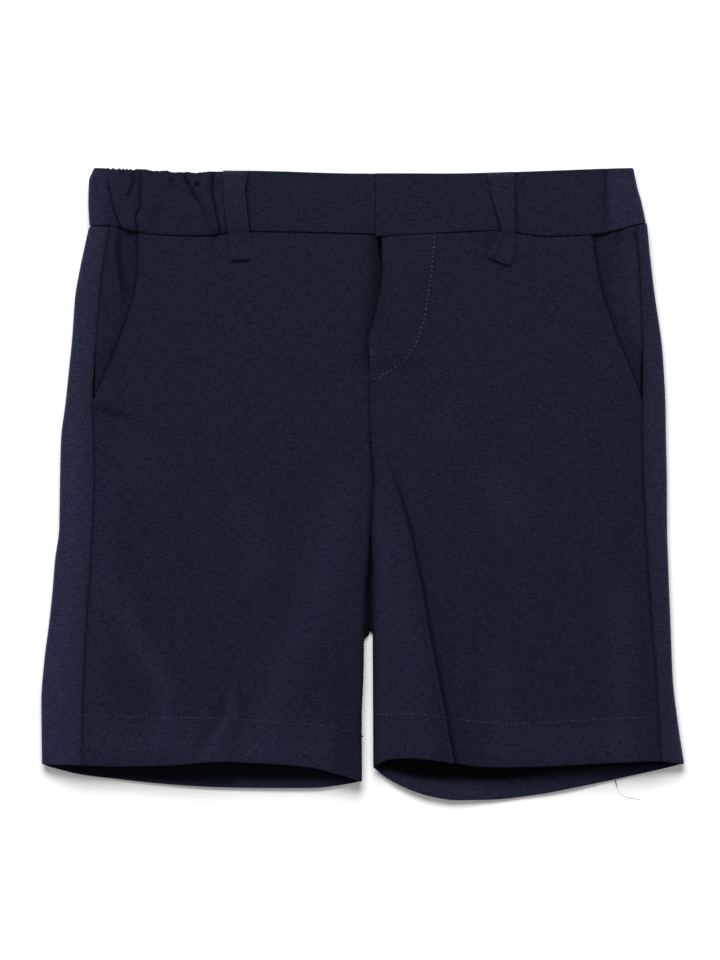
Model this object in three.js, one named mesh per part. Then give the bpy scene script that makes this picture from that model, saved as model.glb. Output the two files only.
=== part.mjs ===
// Child's bermuda shorts in navy suiting, lying flat on their back with the front up.
// Millimetres: +Z up from the surface they lie on, +Y towards the waist, origin in the middle of the
// underside. "Right" and "left" are the wearer's, so the right leg lies on the -X side.
// Every panel is a wall of cloth. Its outer face comes from one set of cross-sections, which run from the
// centre front out over the top, round the outer fold and back underneath to the centre back.
import * as THREE from "three";

// Cloth and seams
const CLOTH = 1.2; // one layer with its seam allowances
const HEM_WALL = 2.0; // the hem is turned up once
const BAND_WALL = 2.0; // waistband and its facing
const SEAM_GAP = 0.3; // between pieces that are sewn together
const LAYER_STEP = CLOTH + 0.4; // from one layer's face to that of the layer under it
const WAIST_SEAM_GAP = 0.4; // across the waist seam, which curves

// Lengths down the garment, at the middle of each leg
const WAIST_Y = 124;
const HEM_Y = -140;
const HEM_DEPTH = 22; // from the hem's edge up to its stitching
const HEM_TOP_Y = HEM_Y + HEM_DEPTH;
const HEM_EASE_Y = -45; // below this the sections bend towards the hem's own curve
const WAIST_EASE_Y = 84; // above this they bend towards the waist seam

// Folds
const FOLD_HEIGHT = 7.5; // thickness of the garment at the outer fold
const FOLD_REACH = 3.8; // how far the outer fold's rounding reaches in
const ROLL_RADIUS = 5; // the front where it rolls over into the crotch and down the inseam
const BACK_ROLL_RADIUS = 3.5; // the back where it comes up to the inseam
const DOME_REACH = 28; // from an edge fold in to the full height of the front

// Waistband, fly and belt loops
const BAND_PROUD = 0.8; // the waistband stands this far above the panels
const BAND_LAP = 1.5; // the left band's end rises this far more, over the right band
const BAND_LAP_REACH = { full: 17, none: 34 }; // distance from that end
const FLY_RAISE = LAYER_STEP + 0.3; // the fly's overlap lies over the right front's edge
const FLY_RAISE_REACH = { full: 14, none: 36 }; // distance from the fly's edge
const FLY_END_Y = { open: 64, shut: 55 };
const LOOP_WALL = 1.2;
const LOOP_STAND_OFF = 2.6; // room behind a front loop
const LOOP_HALF_WIDTH = 5.2;
const LOOP_FOLD_LENGTH = 5; // a loop's lower end is turned under
const LOOP_LIFT = LOOP_WALL + SEAM_GAP; // the back lies on its own loops
const BACK_LOOP_END_Y = 110;
const BACK_LOOP_X = [-78, 4, 86]; // right, centre and left

const NAVY = 0x1e2236;

const clamp = (value, low, high) => Math.min(high, Math.max(low, value));
const mix = (a, b, t) => a + (b - a) * t;
const smooth = (low, high, value) => {
  const t = clamp((value - low) / (high - low), 0, 1);
  return t * t * (3 - 2 * t);
};
const bump = (q) => (Math.abs(q) < 1 ? (1 + Math.cos(Math.PI * q)) / 2 : 0);

// A table's columns as smooth functions of its first column. The curves pass through every row and don't
// overshoot between rows.
function table(names, rows) {
  const key = rows.map((row) => row[0]);
  const columns = {};
  names.slice(1).forEach((name, k) => {
    const value = rows.map((row) => row[k + 1]);
    const rise = value.slice(1).map((v, i) => (v - value[i]) / (key[i + 1] - key[i]));
    const slope = value.map((_, i) => {
      if (i === 0 || i === value.length - 1) return rise[Math.min(i, rise.length - 1)];
      const product = rise[i - 1] * rise[i];
      return product > 0 ? (2 * product) / (rise[i - 1] + rise[i]) : 0;
    });
    columns[name] = (at) => {
      const last = key.length - 1;
      const low = Math.min(key[0], key[last]);
      const high = Math.max(key[0], key[last]);
      const x = clamp(at, low, high);
      let i = 0;
      while (i < last - 1 && (key[i + 1] - x) * Math.sign(key[last] - key[0]) < 0) i += 1;
      const span = key[i + 1] - key[i];
      const t = (x - key[i]) / span;
      const bend = t * (1 - t) * span;
      return (
        mix(value[i], value[i + 1], t * t * (3 - 2 * t)) +
        bend * (slope[i] * (1 - t) - slope[i + 1] * t)
      );
    };
  });
  return columns;
}

// Widths down each side: the outer fold, the side seam (which lies on the front), the front's inner edge
// and how far that edge has rolled down to the back, from 0 to 1.
const RIGHT = {
  sign: -1,
  widths: table(["y", "outline", "seam", "inner", "roll"], [
    [124, -136.2, -127.0, 7.3, 0],
    [106, -140.7, -129.9, 7.6, 0],
    [92, -143.5, -131.2, 7.9, 0],
    [80, -144.4, -132.0, 7.4, 0],
    [72, -145.0, -132.5, 6.4, 0],
    [62, -146.0, -133.2, 3.5, 0],
    [40, -148.3, -134.2, 3.4, 0],
    [22, -150.5, -133.5, 4.0, 0.04],
    [2, -151.0, -133.2, 5.6, 0.3],
    [-22, -151.4, -134.1, 4.1, 1],
    [-38, -153.5, -135.0, 2.9, 1],
    [-52, -154.6, -136.0, 1.2, 1],
    [-69, -156.4, -137.0, 0.3, 1],
    [-88, -158.8, -138.0, 0.0, 1],
    [-109, -160.3, -139.0, -1.0, 1],
    [-140, -159.9, -139.3, -0.9, 1],
  ]),
  pocket: table(["y", "x"], [
    [130, -111.0], [107, -112.2], [91, -115.6], [79.5, -119.0], [66, -123.6], [54, -128.2], [42, -133.6],
  ]),
  pocketEndY: 42,
  hem: table(["x", "front", "back"], [
    [-161, -139.4, -139.6], [-151, -139.6, -142.9], [-139, -139.8, -145.5], [-122, -140.3, -147.1],
    [-98, -139.8, -149.6], [-71, -137.8, -151.7], [-44, -139.0, -152.2], [-24, -141.0, -152.0],
    [-10, -144.8, -150.0], [0, -148.0, -148.2],
  ]),
  waist: table(["x", "front", "back"], [
    [-137, 128.6, 128.6], [-127, 128.5, 127.6], [-114, 126.0, 126.6], [-102, 124.0, 126.2],
    [-82, 123.4, 126.0], [-56, 125.5, 126.0], [8, 124.2, 126.0],
  ]),
  bandOutline: table(["up", "x"], [[0, -136.2], [0.4, -136.8], [0.8, -136.5], [1, -134.4]]),
  bandSeamX: -112.2,
  bandEndX: 22, // its extension lies under the left band
};
const LEFT = {
  sign: 1,
  widths: table(["y", "outline", "seam", "inner", "roll"], [
    [124, 141.4, 136.0, 9.7, 0],
    [109, 142.9, 137.8, 10.2, 0],
    [100, 144.2, 138.4, 9.9, 0],
    [91, 145.6, 138.9, 8.0, 0],
    [80, 147.4, 139.3, 5.6, 0],
    [70, 148.7, 139.5, 3.3, 0],
    [62, 149.4, 139.6, 3.8, 0],
    [40, 150.6, 139.5, 3.7, 0],
    [22, 151.0, 139.2, 4.3, 0.04],
    [2, 151.5, 139.7, 5.9, 0.3],
    [-22, 151.6, 141.0, 4.5, 1],
    [-38, 152.0, 142.1, 5.5, 1],
    [-69, 153.0, 144.2, 5.5, 1],
    [-98, 154.0, 146.5, 5.6, 1],
    [-118, 156.0, 147.6, 5.7, 1],
    [-140, 160.3, 148.8, 5.8, 1],
  ]),
  pocket: table(["y", "x"], [
    [130, 113.8], [111, 116.2], [94, 119.6], [81, 124.1], [71, 127.5], [60, 131.9], [45, 139.2],
  ]),
  pocketEndY: 45,
  hem: table(["x", "front", "back"], [
    [5, -140.6, -141.0], [14, -136.8, -148.0], [24, -136.1, -153.4], [34, -136.8, -157.0],
    [47, -139.0, -158.4], [64, -140.7, -158.0], [88, -140.4, -155.1], [108, -139.4, -151.0],
    [128, -138.4, -146.4], [147, -137.7, -141.9], [160, -139.5, -139.6],
  ]),
  waist: table(["x", "front", "back"], [
    [8, 122.9, 126.0], [32, 124.3, 126.0], [66, 125.8, 126.0], [94, 123.0, 126.2], [116, 124.1, 126.8],
    [134, 128.2, 128.4], [142, 130.2, 130.2],
  ]),
  bandOutline: table(["up", "x"], [[0, 140.6], [0.4, 138.4], [0.7, 136.2], [1, 134.9]]),
  bandSeamX: 120.4,
  bandEndX: 6.6,
};

// Heights of the front and shape of the back, the same for both sides
const HEIGHTS = table(["y", "crown", "innerCrown"], [
  [160, 12.0, 12.0], [90, 12.0, 12.0], [0, 11.6, 11.4], [-60, 11.6, 10.6], [-118, 12.2, 10.6], [-140, 12.6, 10.8],
]);
const CENTRE_BACK_X = 3.8; // the centre back seam, which runs down to the crotch
const CROTCH_Y = -69;
const LEG_TOP_Y = CROTCH_Y - 4; // from here down the two legs are apart
const LEG_TUBE_Y = -90; // from here down the back has rolled up to the inseam
const BAND_TOP = table(["x", "y"], [
  [-137, 157.4], [-110, 156.4], [-82, 155.0], [-60, 156.0], [0, 154.5], [40, 154.6], [70, 155.2],
  [105, 156.8], [136, 158.0],
]);

// Creases in the legs and the pocket facings. Each fades out at its first end and is full at its second.
const CREASES = [
  { name: "arch of the right hem", from: [-72, -40], to: [-72, -140], height: 3.6, width: 52 },
  { name: "ridge in that arch", from: [-60, -84], to: [-76, -140], height: 1.2, width: 12 },
  { name: "soft ridge by the right seam", from: [-116, -62], to: [-99, -140], height: 1.0, width: 16 },
  { name: "inner ridge of the left leg", from: [12, 20], to: [27, -140], height: 4.6, width: 17 },
  { name: "crease of the left leg", from: [14, 14], to: [47.5, -140], height: -1.8, width: 10 },
  { name: "under the right pocket", from: [-106, 31], to: [-134, 38], height: -1.0, width: 8 },
];

// Gathers over the elastic in the right half of the waistband: where each valley meets the top edge and
// the waist seam.
const GATHERS = [
  { top: -127.0, seam: -121.0, depth: 1.5, width: 7 },
  { top: -111.6, seam: -113.8, depth: 1.3, width: 6 },
  { top: -91.0, seam: -77.5, depth: 1.3, width: 8 },
  { top: -75.0, seam: -71.5, depth: 1.5, width: 5 },
];

const ROWS = [
  124, 116, 106, 95, 84, 72, 62, 52, 32, 18, 6, -6, -15, -22, -34, -48, -62, -69, -73, -80, -90, -104, -116.5, -119,
  -131, -140,
];

const wallAt = (y) => mix(HEM_WALL, CLOTH, smooth(HEM_TOP_Y - 1, HEM_TOP_Y + 1, y));
const liftAt = (y) => LOOP_LIFT * smooth(BACK_LOOP_END_Y - 34, BACK_LOOP_END_Y - 2, y);

// Height that the creases add at a point of the front
function creaseAt(x, y) {
  return CREASES.reduce((sum, { from, to, height, width }) => {
    const [dx, dy] = [to[0] - from[0], to[1] - from[1]];
    const length = Math.hypot(dx, dy);
    const along = ((x - from[0]) * dx + (y - from[1]) * dy) / length;
    const aside = ((x - from[0]) * dy - (y - from[1]) * dx) / length;
    return sum + height * smooth(0, length, along) * bump(aside / width);
  }, 0);
}

// Height of the front's outer face over the surface, without the fly's overlap
function frontHeight(side, x, y) {
  const { outline, inner, roll } = side.widths;
  const edge = liftAt(y) + FOLD_HEIGHT;
  const fromFold = Math.abs(x - outline(y)) - FOLD_REACH;
  const fromInner = Math.abs(x - inner(y));
  const dome = smooth(0, DOME_REACH, fromFold);
  const legEdge = roll(y) * (1 - smooth(0, DOME_REACH, fromInner));
  const crown = mix(HEIGHTS.crown(y), HEIGHTS.innerCrown(y), legEdge);
  return mix(edge, crown + creaseAt(x, y), dome);
}

// Extra height of the left front where it overlaps the right one
const flyRaise = (x, y) =>
  FLY_RAISE *
  smooth(FLY_END_Y.shut, FLY_END_Y.open, y) *
  (1 - smooth(FLY_RAISE_REACH.full, FLY_RAISE_REACH.none, x - LEFT.widths.inner(y)));

// How far a point of the section at y moves along Y, so that the waist seam and hem follow their curves.
// layer is 0 on the front and 1 on the back.
function shiftAt(side, x, y, layer) {
  const waist = mix(side.waist.front(x), side.waist.back(x), layer) - WAIST_Y;
  const hem = mix(side.hem.front(x), side.hem.back(x), layer) - HEM_Y;
  return waist * smooth(WAIST_EASE_Y, WAIST_Y, y) + hem * smooth(HEM_EASE_Y, HEM_TOP_Y, y);
}

// The middle of the two fronts' inner edges, where they are sewn together below the fly
const centreFrontX = (y) => (RIGHT.widths.inner(y) + LEFT.widths.inner(y)) / 2;

// Where the front's section starts: it rolls over by an angle, drops straight down, and above the crotch
// runs out along the back to the centre seam.
function innerRoll(side, y, backRise) {
  const inner = side.widths.inner(y);
  const roll = side.widths.roll(y);
  const joined = smooth(LEG_TOP_Y, CROTCH_Y, y);
  const rest = liftAt(y) + backRise + SEAM_GAP + wallAt(y) * joined;
  const drop = (frontHeight(side, inner, y) - rest) * roll;
  return {
    inner,
    angle: Math.acos(clamp(1 - drop / ROLL_RADIUS, 0, 1)),
    straight: Math.max(0, drop - ROLL_RADIUS),
    endX: mix(inner, centreFrontX(y) + (side.sign * SEAM_GAP) / 2, joined * roll),
  };
}

// The outer face's section at y, as closely spaced points from the front's inner edge to the back's.
function section(side, y) {
  const CLOSE = 0.3;
  const ROLL_STEPS = 24;
  const { sign } = side;
  const outline = side.widths.outline(y);
  const lift = liftAt(y);
  const points = [];
  const add = (x, z, layer) => points.push({ x, z, layer });

  const backAngle = (Math.PI / 2) * smooth(LEG_TOP_Y, LEG_TUBE_Y, y);
  const backRise = BACK_ROLL_RADIUS * (1 - Math.cos(backAngle)) + wallAt(y) * Math.cos(backAngle);
  const { inner, angle, straight, endX } = innerRoll(side, y, backRise);
  const foot = frontHeight(side, inner, y) - ROLL_RADIUS * (1 - Math.cos(angle)) - straight;
  const alongBack = Math.abs(inner - endX);
  for (let k = 0; k * CLOSE < alongBack - CLOSE / 2; k += 1) add(endX + sign * k * CLOSE, foot, 0);
  for (let down = straight; down > CLOSE / 2; down -= CLOSE) add(inner, foot + straight - down, 0);
  const rollStart = inner + sign * ROLL_RADIUS * Math.sin(angle);
  for (let i = ROLL_STEPS; i > 0 && angle > 0.02; i -= 1) {
    const turn = (angle * i) / ROLL_STEPS;
    const x = rollStart - sign * ROLL_RADIUS * Math.sin(turn);
    add(x, frontHeight(side, x, y) - ROLL_RADIUS * (1 - Math.cos(turn)), 0);
  }

  const foldStart = outline - sign * FOLD_REACH;
  const topSteps = 160;
  for (let i = 0; i < topSteps; i += 1) {
    const x = mix(rollStart, foldStart, i / topSteps);
    add(x, frontHeight(side, x, y), 0);
  }
  const foldTop = points.length;
  const foldSteps = 32;
  for (let i = 0; i < foldSteps; i += 1) {
    const angle = (Math.PI * i) / foldSteps;
    const x = foldStart + sign * FOLD_REACH * Math.sin(angle);
    add(x, lift + (FOLD_HEIGHT / 2) * (1 + Math.cos(angle)), smooth(0, Math.PI, angle));
  }
  const foldBottom = points.length;
  const backInner = mix(inner, CENTRE_BACK_X + (sign * SEAM_GAP) / 2, smooth(LEG_TOP_Y, CROTCH_Y, y));
  const backRollStart = backInner + sign * BACK_ROLL_RADIUS * Math.sin(backAngle);
  const bottomSteps = 120;
  for (let i = 0; i <= bottomSteps; i += 1) add(mix(foldStart, backRollStart, i / bottomSteps), lift, 1);
  for (let i = 1; i <= ROLL_STEPS && backAngle > 0.02; i += 1) {
    const turn = (backAngle * i) / ROLL_STEPS;
    const x = backRollStart - sign * BACK_ROLL_RADIUS * Math.sin(turn);
    add(x, lift + BACK_ROLL_RADIUS * (1 - Math.cos(turn)), 1);
  }
  return measured(points, sign, { foldTop, foldBottom });
}

// Adds to each point its distance along the section and its outward normal.
function measured(points, sign, marks) {
  let at = 0;
  points.forEach((p, i) => {
    if (i > 0) at += Math.hypot(p.x - points[i - 1].x, p.z - points[i - 1].z);
    p.at = at;
    const before = points[Math.max(0, i - 1)];
    const after = points[Math.min(points.length - 1, i + 1)];
    const length = Math.hypot(after.x - before.x, after.z - before.z);
    p.nx = (-sign * (after.z - before.z)) / length;
    p.nz = (sign * (after.x - before.x)) / length;
  });
  return { points, length: at, ...marks };
}

// The point at a distance along a section
function pointAt({ points }, at) {
  let low = 0;
  let high = points.length - 1;
  while (high - low > 1) {
    const middle = (low + high) >> 1;
    if (points[middle].at <= at) low = middle;
    else high = middle;
  }
  const [a, b] = [points[low], points[high]];
  const t = clamp((at - a.at) / (b.at - a.at), 0, 1);
  const p = {};
  for (const name of ["x", "z", "layer", "nx", "nz"]) p[name] = mix(a[name], b[name], t);
  return p;
}

// The distance along a section at which its front crosses x
function frontDistance({ points, foldTop }, sign, x) {
  const i = points.findIndex((p, k) => k > 0 && k <= foldTop && sign * (p.x - x) >= 0);
  const [a, b] = [points[i - 1], points[i]];
  return mix(a.at, b.at, clamp((x - a.x) / (b.x - a.x || 1), 0, 1));
}

// Distances that divide each stretch between two marks evenly
const divided = (marks, counts) => [
  marks[0],
  ...counts.flatMap((count, k) =>
    Array.from({ length: count }, (_, i) => mix(marks[k], marks[k + 1], (i + 1) / count)),
  ),
];

// A closed wall between two grids of points, one for each face, with a rim round the four edges.
function wall(outer, inner) {
  const rows = outer.length;
  const columns = outer[0].length;
  const position = [...outer.flat(), ...inner.flat()].flatMap((p) => [p.x, p.y, p.z]);
  const out = (i, j) => i * columns + j;
  const inn = (i, j) => rows * columns + i * columns + j;
  const faces = [];
  const quad = (a, b, c, d) => faces.push([a, b, c], [a, c, d]);
  for (let i = 0; i < rows - 1; i += 1)
    for (let j = 0; j < columns - 1; j += 1) {
      quad(out(i, j), out(i + 1, j), out(i + 1, j + 1), out(i, j + 1));
      quad(inn(i, j), inn(i, j + 1), inn(i + 1, j + 1), inn(i + 1, j));
    }
  for (let i = 0; i < rows - 1; i += 1) {
    quad(out(i, 0), inn(i, 0), inn(i + 1, 0), out(i + 1, 0));
    quad(out(i, columns - 1), out(i + 1, columns - 1), inn(i + 1, columns - 1), inn(i, columns - 1));
  }
  for (let j = 0; j < columns - 1; j += 1) {
    quad(out(0, j), out(0, j + 1), inn(0, j + 1), inn(0, j));
    quad(out(rows - 1, j), inn(rows - 1, j), inn(rows - 1, j + 1), out(rows - 1, j + 1));
  }
  const corner = (k) => new THREE.Vector3().fromArray(position, 3 * k);
  const volume = faces.reduce((sum, [a, b, c]) => sum + corner(a).dot(corner(b).cross(corner(c))), 0);
  const facing = volume < 0 ? faces.map(([a, b, c]) => [a, c, b]) : faces;
  return new THREE.BufferGeometry()
    .setAttribute("position", new THREE.Float32BufferAttribute(position, 3))
    .setIndex(facing.flat());
}

// One row of a wall's two faces, from section points that are pushed in by a depth and out by a raise.
function wallRow(side, y, picked, { thickness, depth = () => 0, raise = () => 0 }) {
  const faces = [0, thickness].map((inward) =>
    picked.map((p) => {
      const push = depth(p.x, y) + inward;
      return new THREE.Vector3(
        p.x - p.nx * push,
        y + shiftAt(side, p.x, y, p.layer),
        p.z - p.nz * push + raise(p.x, y),
      );
    }),
  );
  return { outer: faces[0], inner: faces[1] };
}

function wallOf(rows) {
  return wall(rows.map((row) => row.outer), rows.map((row) => row.inner));
}

const rowsOf = (side) => [...ROWS, side.pocketEndY].sort((a, b) => b - a);

// Where a front ends: at the pocket's mouth, and below that at the side seam
const frontEdgeX = (side, y) => (y > side.pocketEndY ? side.pocket.x(y) : side.widths.seam(y));

// The distances along a section of a front's columns, which are closer where it rolls over
function frontColumns(side, shape, y) {
  const ROLL_STRETCH = 15;
  const end = frontDistance(shape, side.sign, frontEdgeX(side, y)) - SEAM_GAP / 2;
  return divided([0, ROLL_STRETCH, end], [8, 15]);
}

// A front, from its inner edge to the side seam, with its top corner cut away along the pocket's mouth
function frontPanel(side, raise) {
  return wallOf(
    rowsOf(side).map((y) => {
      const shape = section(side, y);
      const picked = frontColumns(side, shape, y).map((at) => pointAt(shape, at));
      return wallRow(side, y, picked, { thickness: wallAt(y), raise });
    }),
  );
}

// A back, from the side seam round the outer fold and underneath to the centre back or inseam
function backPanel(side) {
  const ROLL_STRETCH = 7;
  return wallOf(
    rowsOf(side).map((y) => {
      const shape = section(side, y);
      const start = frontDistance(shape, side.sign, side.widths.seam(y)) + SEAM_GAP / 2;
      const [top, bottom] = [shape.foldTop, shape.foldBottom].map((i) => shape.points[i].at);
      const marks = [start, top, bottom, shape.length - ROLL_STRETCH, shape.length];
      const picked = divided(marks, [2, 6, 6, 3]).map((at) => pointAt(shape, at));
      return wallRow(side, y, picked, { thickness: wallAt(y) });
    }),
  );
}

// The cloth behind a slant pocket's mouth. It starts one column back under the front, on the front's own
// points moved in by a layer, and comes up level at the side seam.
function pocketFacing(side) {
  const TAIL = 6; // below the mouth
  const rows = [...ROWS.filter((y) => y > side.pocketEndY), side.pocketEndY, side.pocketEndY - TAIL];
  const depth = (x, y) => {
    const mouth = frontEdgeX(side, y);
    const width = Math.abs(side.widths.seam(y) - mouth);
    const share = (side.sign * (x - mouth)) / Math.max(width, 1);
    return LAYER_STEP * (1 - smooth(0.1, 0.95, share) * smooth(4, 12, width));
  };
  return wallOf(
    rows.map((y) => {
      const shape = section(side, y);
      const [under, mouth] = frontColumns(side, shape, y).slice(-2);
      const end = frontDistance(shape, side.sign, side.widths.seam(y)) - SEAM_GAP / 2;
      const TUCK = 0.3; // how far the columns past the mouth stay apart where it has run into the seam
      const marks = [under, mouth - TUCK, Math.max(mouth, end)];
      const picked = divided(marks, [1, 6]).map((at) => pointAt(shape, at));
      return wallRow(side, y, picked, { thickness: CLOTH, depth });
    }),
  );
}

// The strip behind the fly's opening, one layer below both fronts
function flyUnderlap() {
  const outline = table(["y", "left", "right"], [
    [122.4, -4, 30], [100, -4, 30], [84, -4, 28], [72, -3, 22], [64, -1, 14], [58, 1, 8],
  ]);
  const rows = [122.4, 112, 100, 90, 80, 72, 64, 58];
  const across = 6;
  const face = (down) =>
    rows.map((y) =>
      Array.from({ length: across + 1 }, (_, j) => {
        const x = mix(outline.left(y), outline.right(y), j / across);
        return new THREE.Vector3(x, y, HEIGHTS.crown(y) - LAYER_STEP - down);
      }),
    );
  return wall(face(0), face(CLOTH));
}

const gatherAt = (x, up) =>
  -GATHERS.reduce((sum, { top, seam, depth, width }) => sum + depth * bump((x - mix(seam, top, up)) / width), 0);

// Height of the waistband's front over the surface. The right band dips where the left one laps it.
function bandHeight(side, x, up) {
  const LAP_DIP = BAND_WALL + SEAM_GAP - BAND_LAP;
  const fromFold = Math.abs(x - side.bandOutline.x(up)) - FOLD_REACH;
  const edge = LOOP_LIFT + FOLD_HEIGHT + BAND_PROUD;
  const crown = HEIGHTS.crown(WAIST_Y) + BAND_PROUD;
  const lap =
    side === LEFT
      ? BAND_LAP * (1 - smooth(BAND_LAP_REACH.full, BAND_LAP_REACH.none, x - side.bandEndX))
      : -LAP_DIP * smooth(LEFT.bandEndX - 6, LEFT.bandEndX - 2, x);
  return mix(edge, crown + lap, smooth(0, DOME_REACH, fromFold)) + gatherAt(x, up);
}

// The waistband's section, from the centre front over the top, round the fold and underneath
function bandSection(side, up) {
  const { sign } = side;
  const outline = side.bandOutline.x(up);
  const foldStart = outline - sign * FOLD_REACH;
  const foldSteps = 32;
  const topSteps = 240;
  const points = [];
  for (let i = 0; i < topSteps; i += 1) {
    const x = mix(side.bandEndX, foldStart, i / topSteps);
    points.push({ x, z: bandHeight(side, x, up), layer: 0 });
  }
  const foldTop = points.length;
  const halfHeight = (bandHeight(side, foldStart, up) - LOOP_LIFT) / 2;
  for (let i = 0; i <= foldSteps; i += 1) {
    const angle = (Math.PI * i) / foldSteps;
    points.push({
      x: foldStart + sign * FOLD_REACH * Math.sin(angle),
      z: LOOP_LIFT + halfHeight * (1 + Math.cos(angle)),
      layer: smooth(0, Math.PI, angle),
    });
  }
  const foldBottom = points.length - 1;
  points.push({ x: CENTRE_BACK_X, z: LOOP_LIFT, layer: 1 });
  return measured(points, sign, { foldTop, foldBottom });
}

const BAND_ROWS = [0, 0.1, 0.5, 0.9, 1];

// A point of the waistband: it runs from just above the waist seam to the top edge.
function bandPoint(side, p, up, inward) {
  const seam = mix(side.waist.front(p.x), side.waist.back(p.x), p.layer) + WAIST_SEAM_GAP;
  return new THREE.Vector3(p.x - p.nx * inward, mix(seam, BAND_TOP.y(p.x), up), p.z - p.nz * inward);
}

function bandWall(pickRow) {
  const face = (inward) => BAND_ROWS.map((up) => pickRow(up).map(({ side, p }) => bandPoint(side, p, up, inward)));
  return wall(face(0), face(BAND_WALL));
}

// A front half of the waistband, from the centre front to the seam near the side
function frontBand(side, count) {
  return bandWall((up) => {
    const shape = bandSection(side, up);
    const end = frontDistance(shape, side.sign, side.bandSeamX) - SEAM_GAP / 2;
    return divided([0, end], [count]).map((at) => ({ side, p: pointAt(shape, at) }));
  });
}

// The back of the waistband comes round both outer folds to the seams on the front.
function backBand() {
  const half = (side, up) => {
    const shape = bandSection(side, up);
    const start = frontDistance(shape, side.sign, side.bandSeamX) + SEAM_GAP / 2;
    const [top, bottom] = [shape.foldTop, shape.foldBottom].map((i) => shape.points[i].at);
    return divided([start, top, bottom, shape.length], [9, 6, 5]).map((at) => ({ side, p: pointAt(shape, at) }));
  };
  return bandWall((up) => [...half(RIGHT, up), ...half(LEFT, up).slice(0, -1).reverse()]);
}

// Height of whatever lies under a front belt loop: the waistband, or below the seam the front
function underLoop(side, x, y) {
  const seam = side.waist.front(x);
  const up = clamp((y - seam) / (BAND_TOP.y(x) - seam), 0, 1);
  const panel = frontHeight(side, x, y) + (side === LEFT ? flyRaise(x, y) : 0);
  return mix(panel, bandHeight(side, x, up), smooth(seam - 1, seam + 1, y));
}

// A belt loop on the front, sewn down at both ends and standing off the waistband between them
function frontLoop(side, shape) {
  const rows = [0, 0.06, 0.15, 0.3, 0.45, 0.6, 0.68, 0.72, 0.8, 0.9, 1];
  const across = 3;
  const topY = BAND_TOP.y(shape.x(0)) - 0.2;
  const face = (isTop) =>
    rows.map((t) =>
      Array.from({ length: across + 1 }, (_, j) => {
        const y = mix(topY, shape.endY, t);
        const x = shape.x(t) + shape.half(t) * mix(-1, 1, j / across);
        const standOff = LOOP_STAND_OFF * smooth(0, 0.25, t) * (1 - smooth(0.55, 0.85, t));
        const ends = y < shape.endY + LOOP_FOLD_LENGTH ? 2 * LOOP_WALL : LOOP_WALL;
        const bottom = Math.max(underLoop(side, x, y), underLoop(side, shape.x(t), y)) + SEAM_GAP + standOff;
        return new THREE.Vector3(x, y, bottom + (isTop ? ends : 0));
      }),
    );
  return wall(face(true), face(false));
}

const RIGHT_LOOP = {
  endY: 111,
  ...table(["t", "x", "half"], [[0, -63.6, 5.6], [0.4, -64.0, 4.2], [0.7, -62.4, 4.6], [1, -60.9, 4.8]]),
};
const LEFT_LOOP = {
  endY: 110,
  ...table(["t", "x", "half"], [
    [0, 67.6, 5.8], [0.3, 69.0, 4.8], [0.62, 71.2, 4.3], [0.68, 70.8, 4.6], [0.74, 67.8, 7.4], [1, 67.2, 6.2],
  ]),
};

// A belt loop on the back, pressed flat between the waistband and the surface
function backLoop(x) {
  const length = BAND_TOP.y(x) - BACK_LOOP_END_Y;
  const loop = new THREE.BoxGeometry(2 * LOOP_HALF_WIDTH, length, LOOP_WALL);
  return loop.translate(x, BACK_LOOP_END_Y + length / 2, LOOP_WALL / 2);
}

const shorts = new THREE.Group();

function addPiece(name, geometry) {
  const suiting = new THREE.MeshStandardMaterial({ color: NAVY, roughness: 0.9, metalness: 0 });
  const piece = new THREE.Mesh(geometry, suiting);
  piece.name = name;
  shorts.add(piece);
}

addPiece("front_right", frontPanel(RIGHT));
addPiece("front_left", frontPanel(LEFT, flyRaise));
addPiece("back_right", backPanel(RIGHT));
addPiece("back_left", backPanel(LEFT));
addPiece("pocket_facing_right", pocketFacing(RIGHT));
addPiece("pocket_facing_left", pocketFacing(LEFT));
addPiece("fly_underlap", flyUnderlap());
addPiece("waistband_front_right", frontBand(RIGHT, 30));
addPiece("waistband_front_left", frontBand(LEFT, 14));
addPiece("waistband_back", backBand());
addPiece("belt_loop_front_right", frontLoop(RIGHT, RIGHT_LOOP));
addPiece("belt_loop_front_left", frontLoop(LEFT, LEFT_LOOP));
["right", "centre", "left"].forEach((place, k) => addPiece(`belt_loop_back_${place}`, backLoop(BACK_LOOP_X[k])));

export default shorts;
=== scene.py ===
"""Child's bermuda shorts in navy suiting, lying flat on their back with the front up.

Sizes are in millimetres until a mesh is made. Right and left are the wearer's, so the right leg lies on the
-X side. Every panel is a thin shell of cloth on the form of its solid: its outer face comes from sections
that run from the centre front out over the top, round the outer fold and back underneath.
"""

import math
from types import SimpleNamespace

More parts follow.
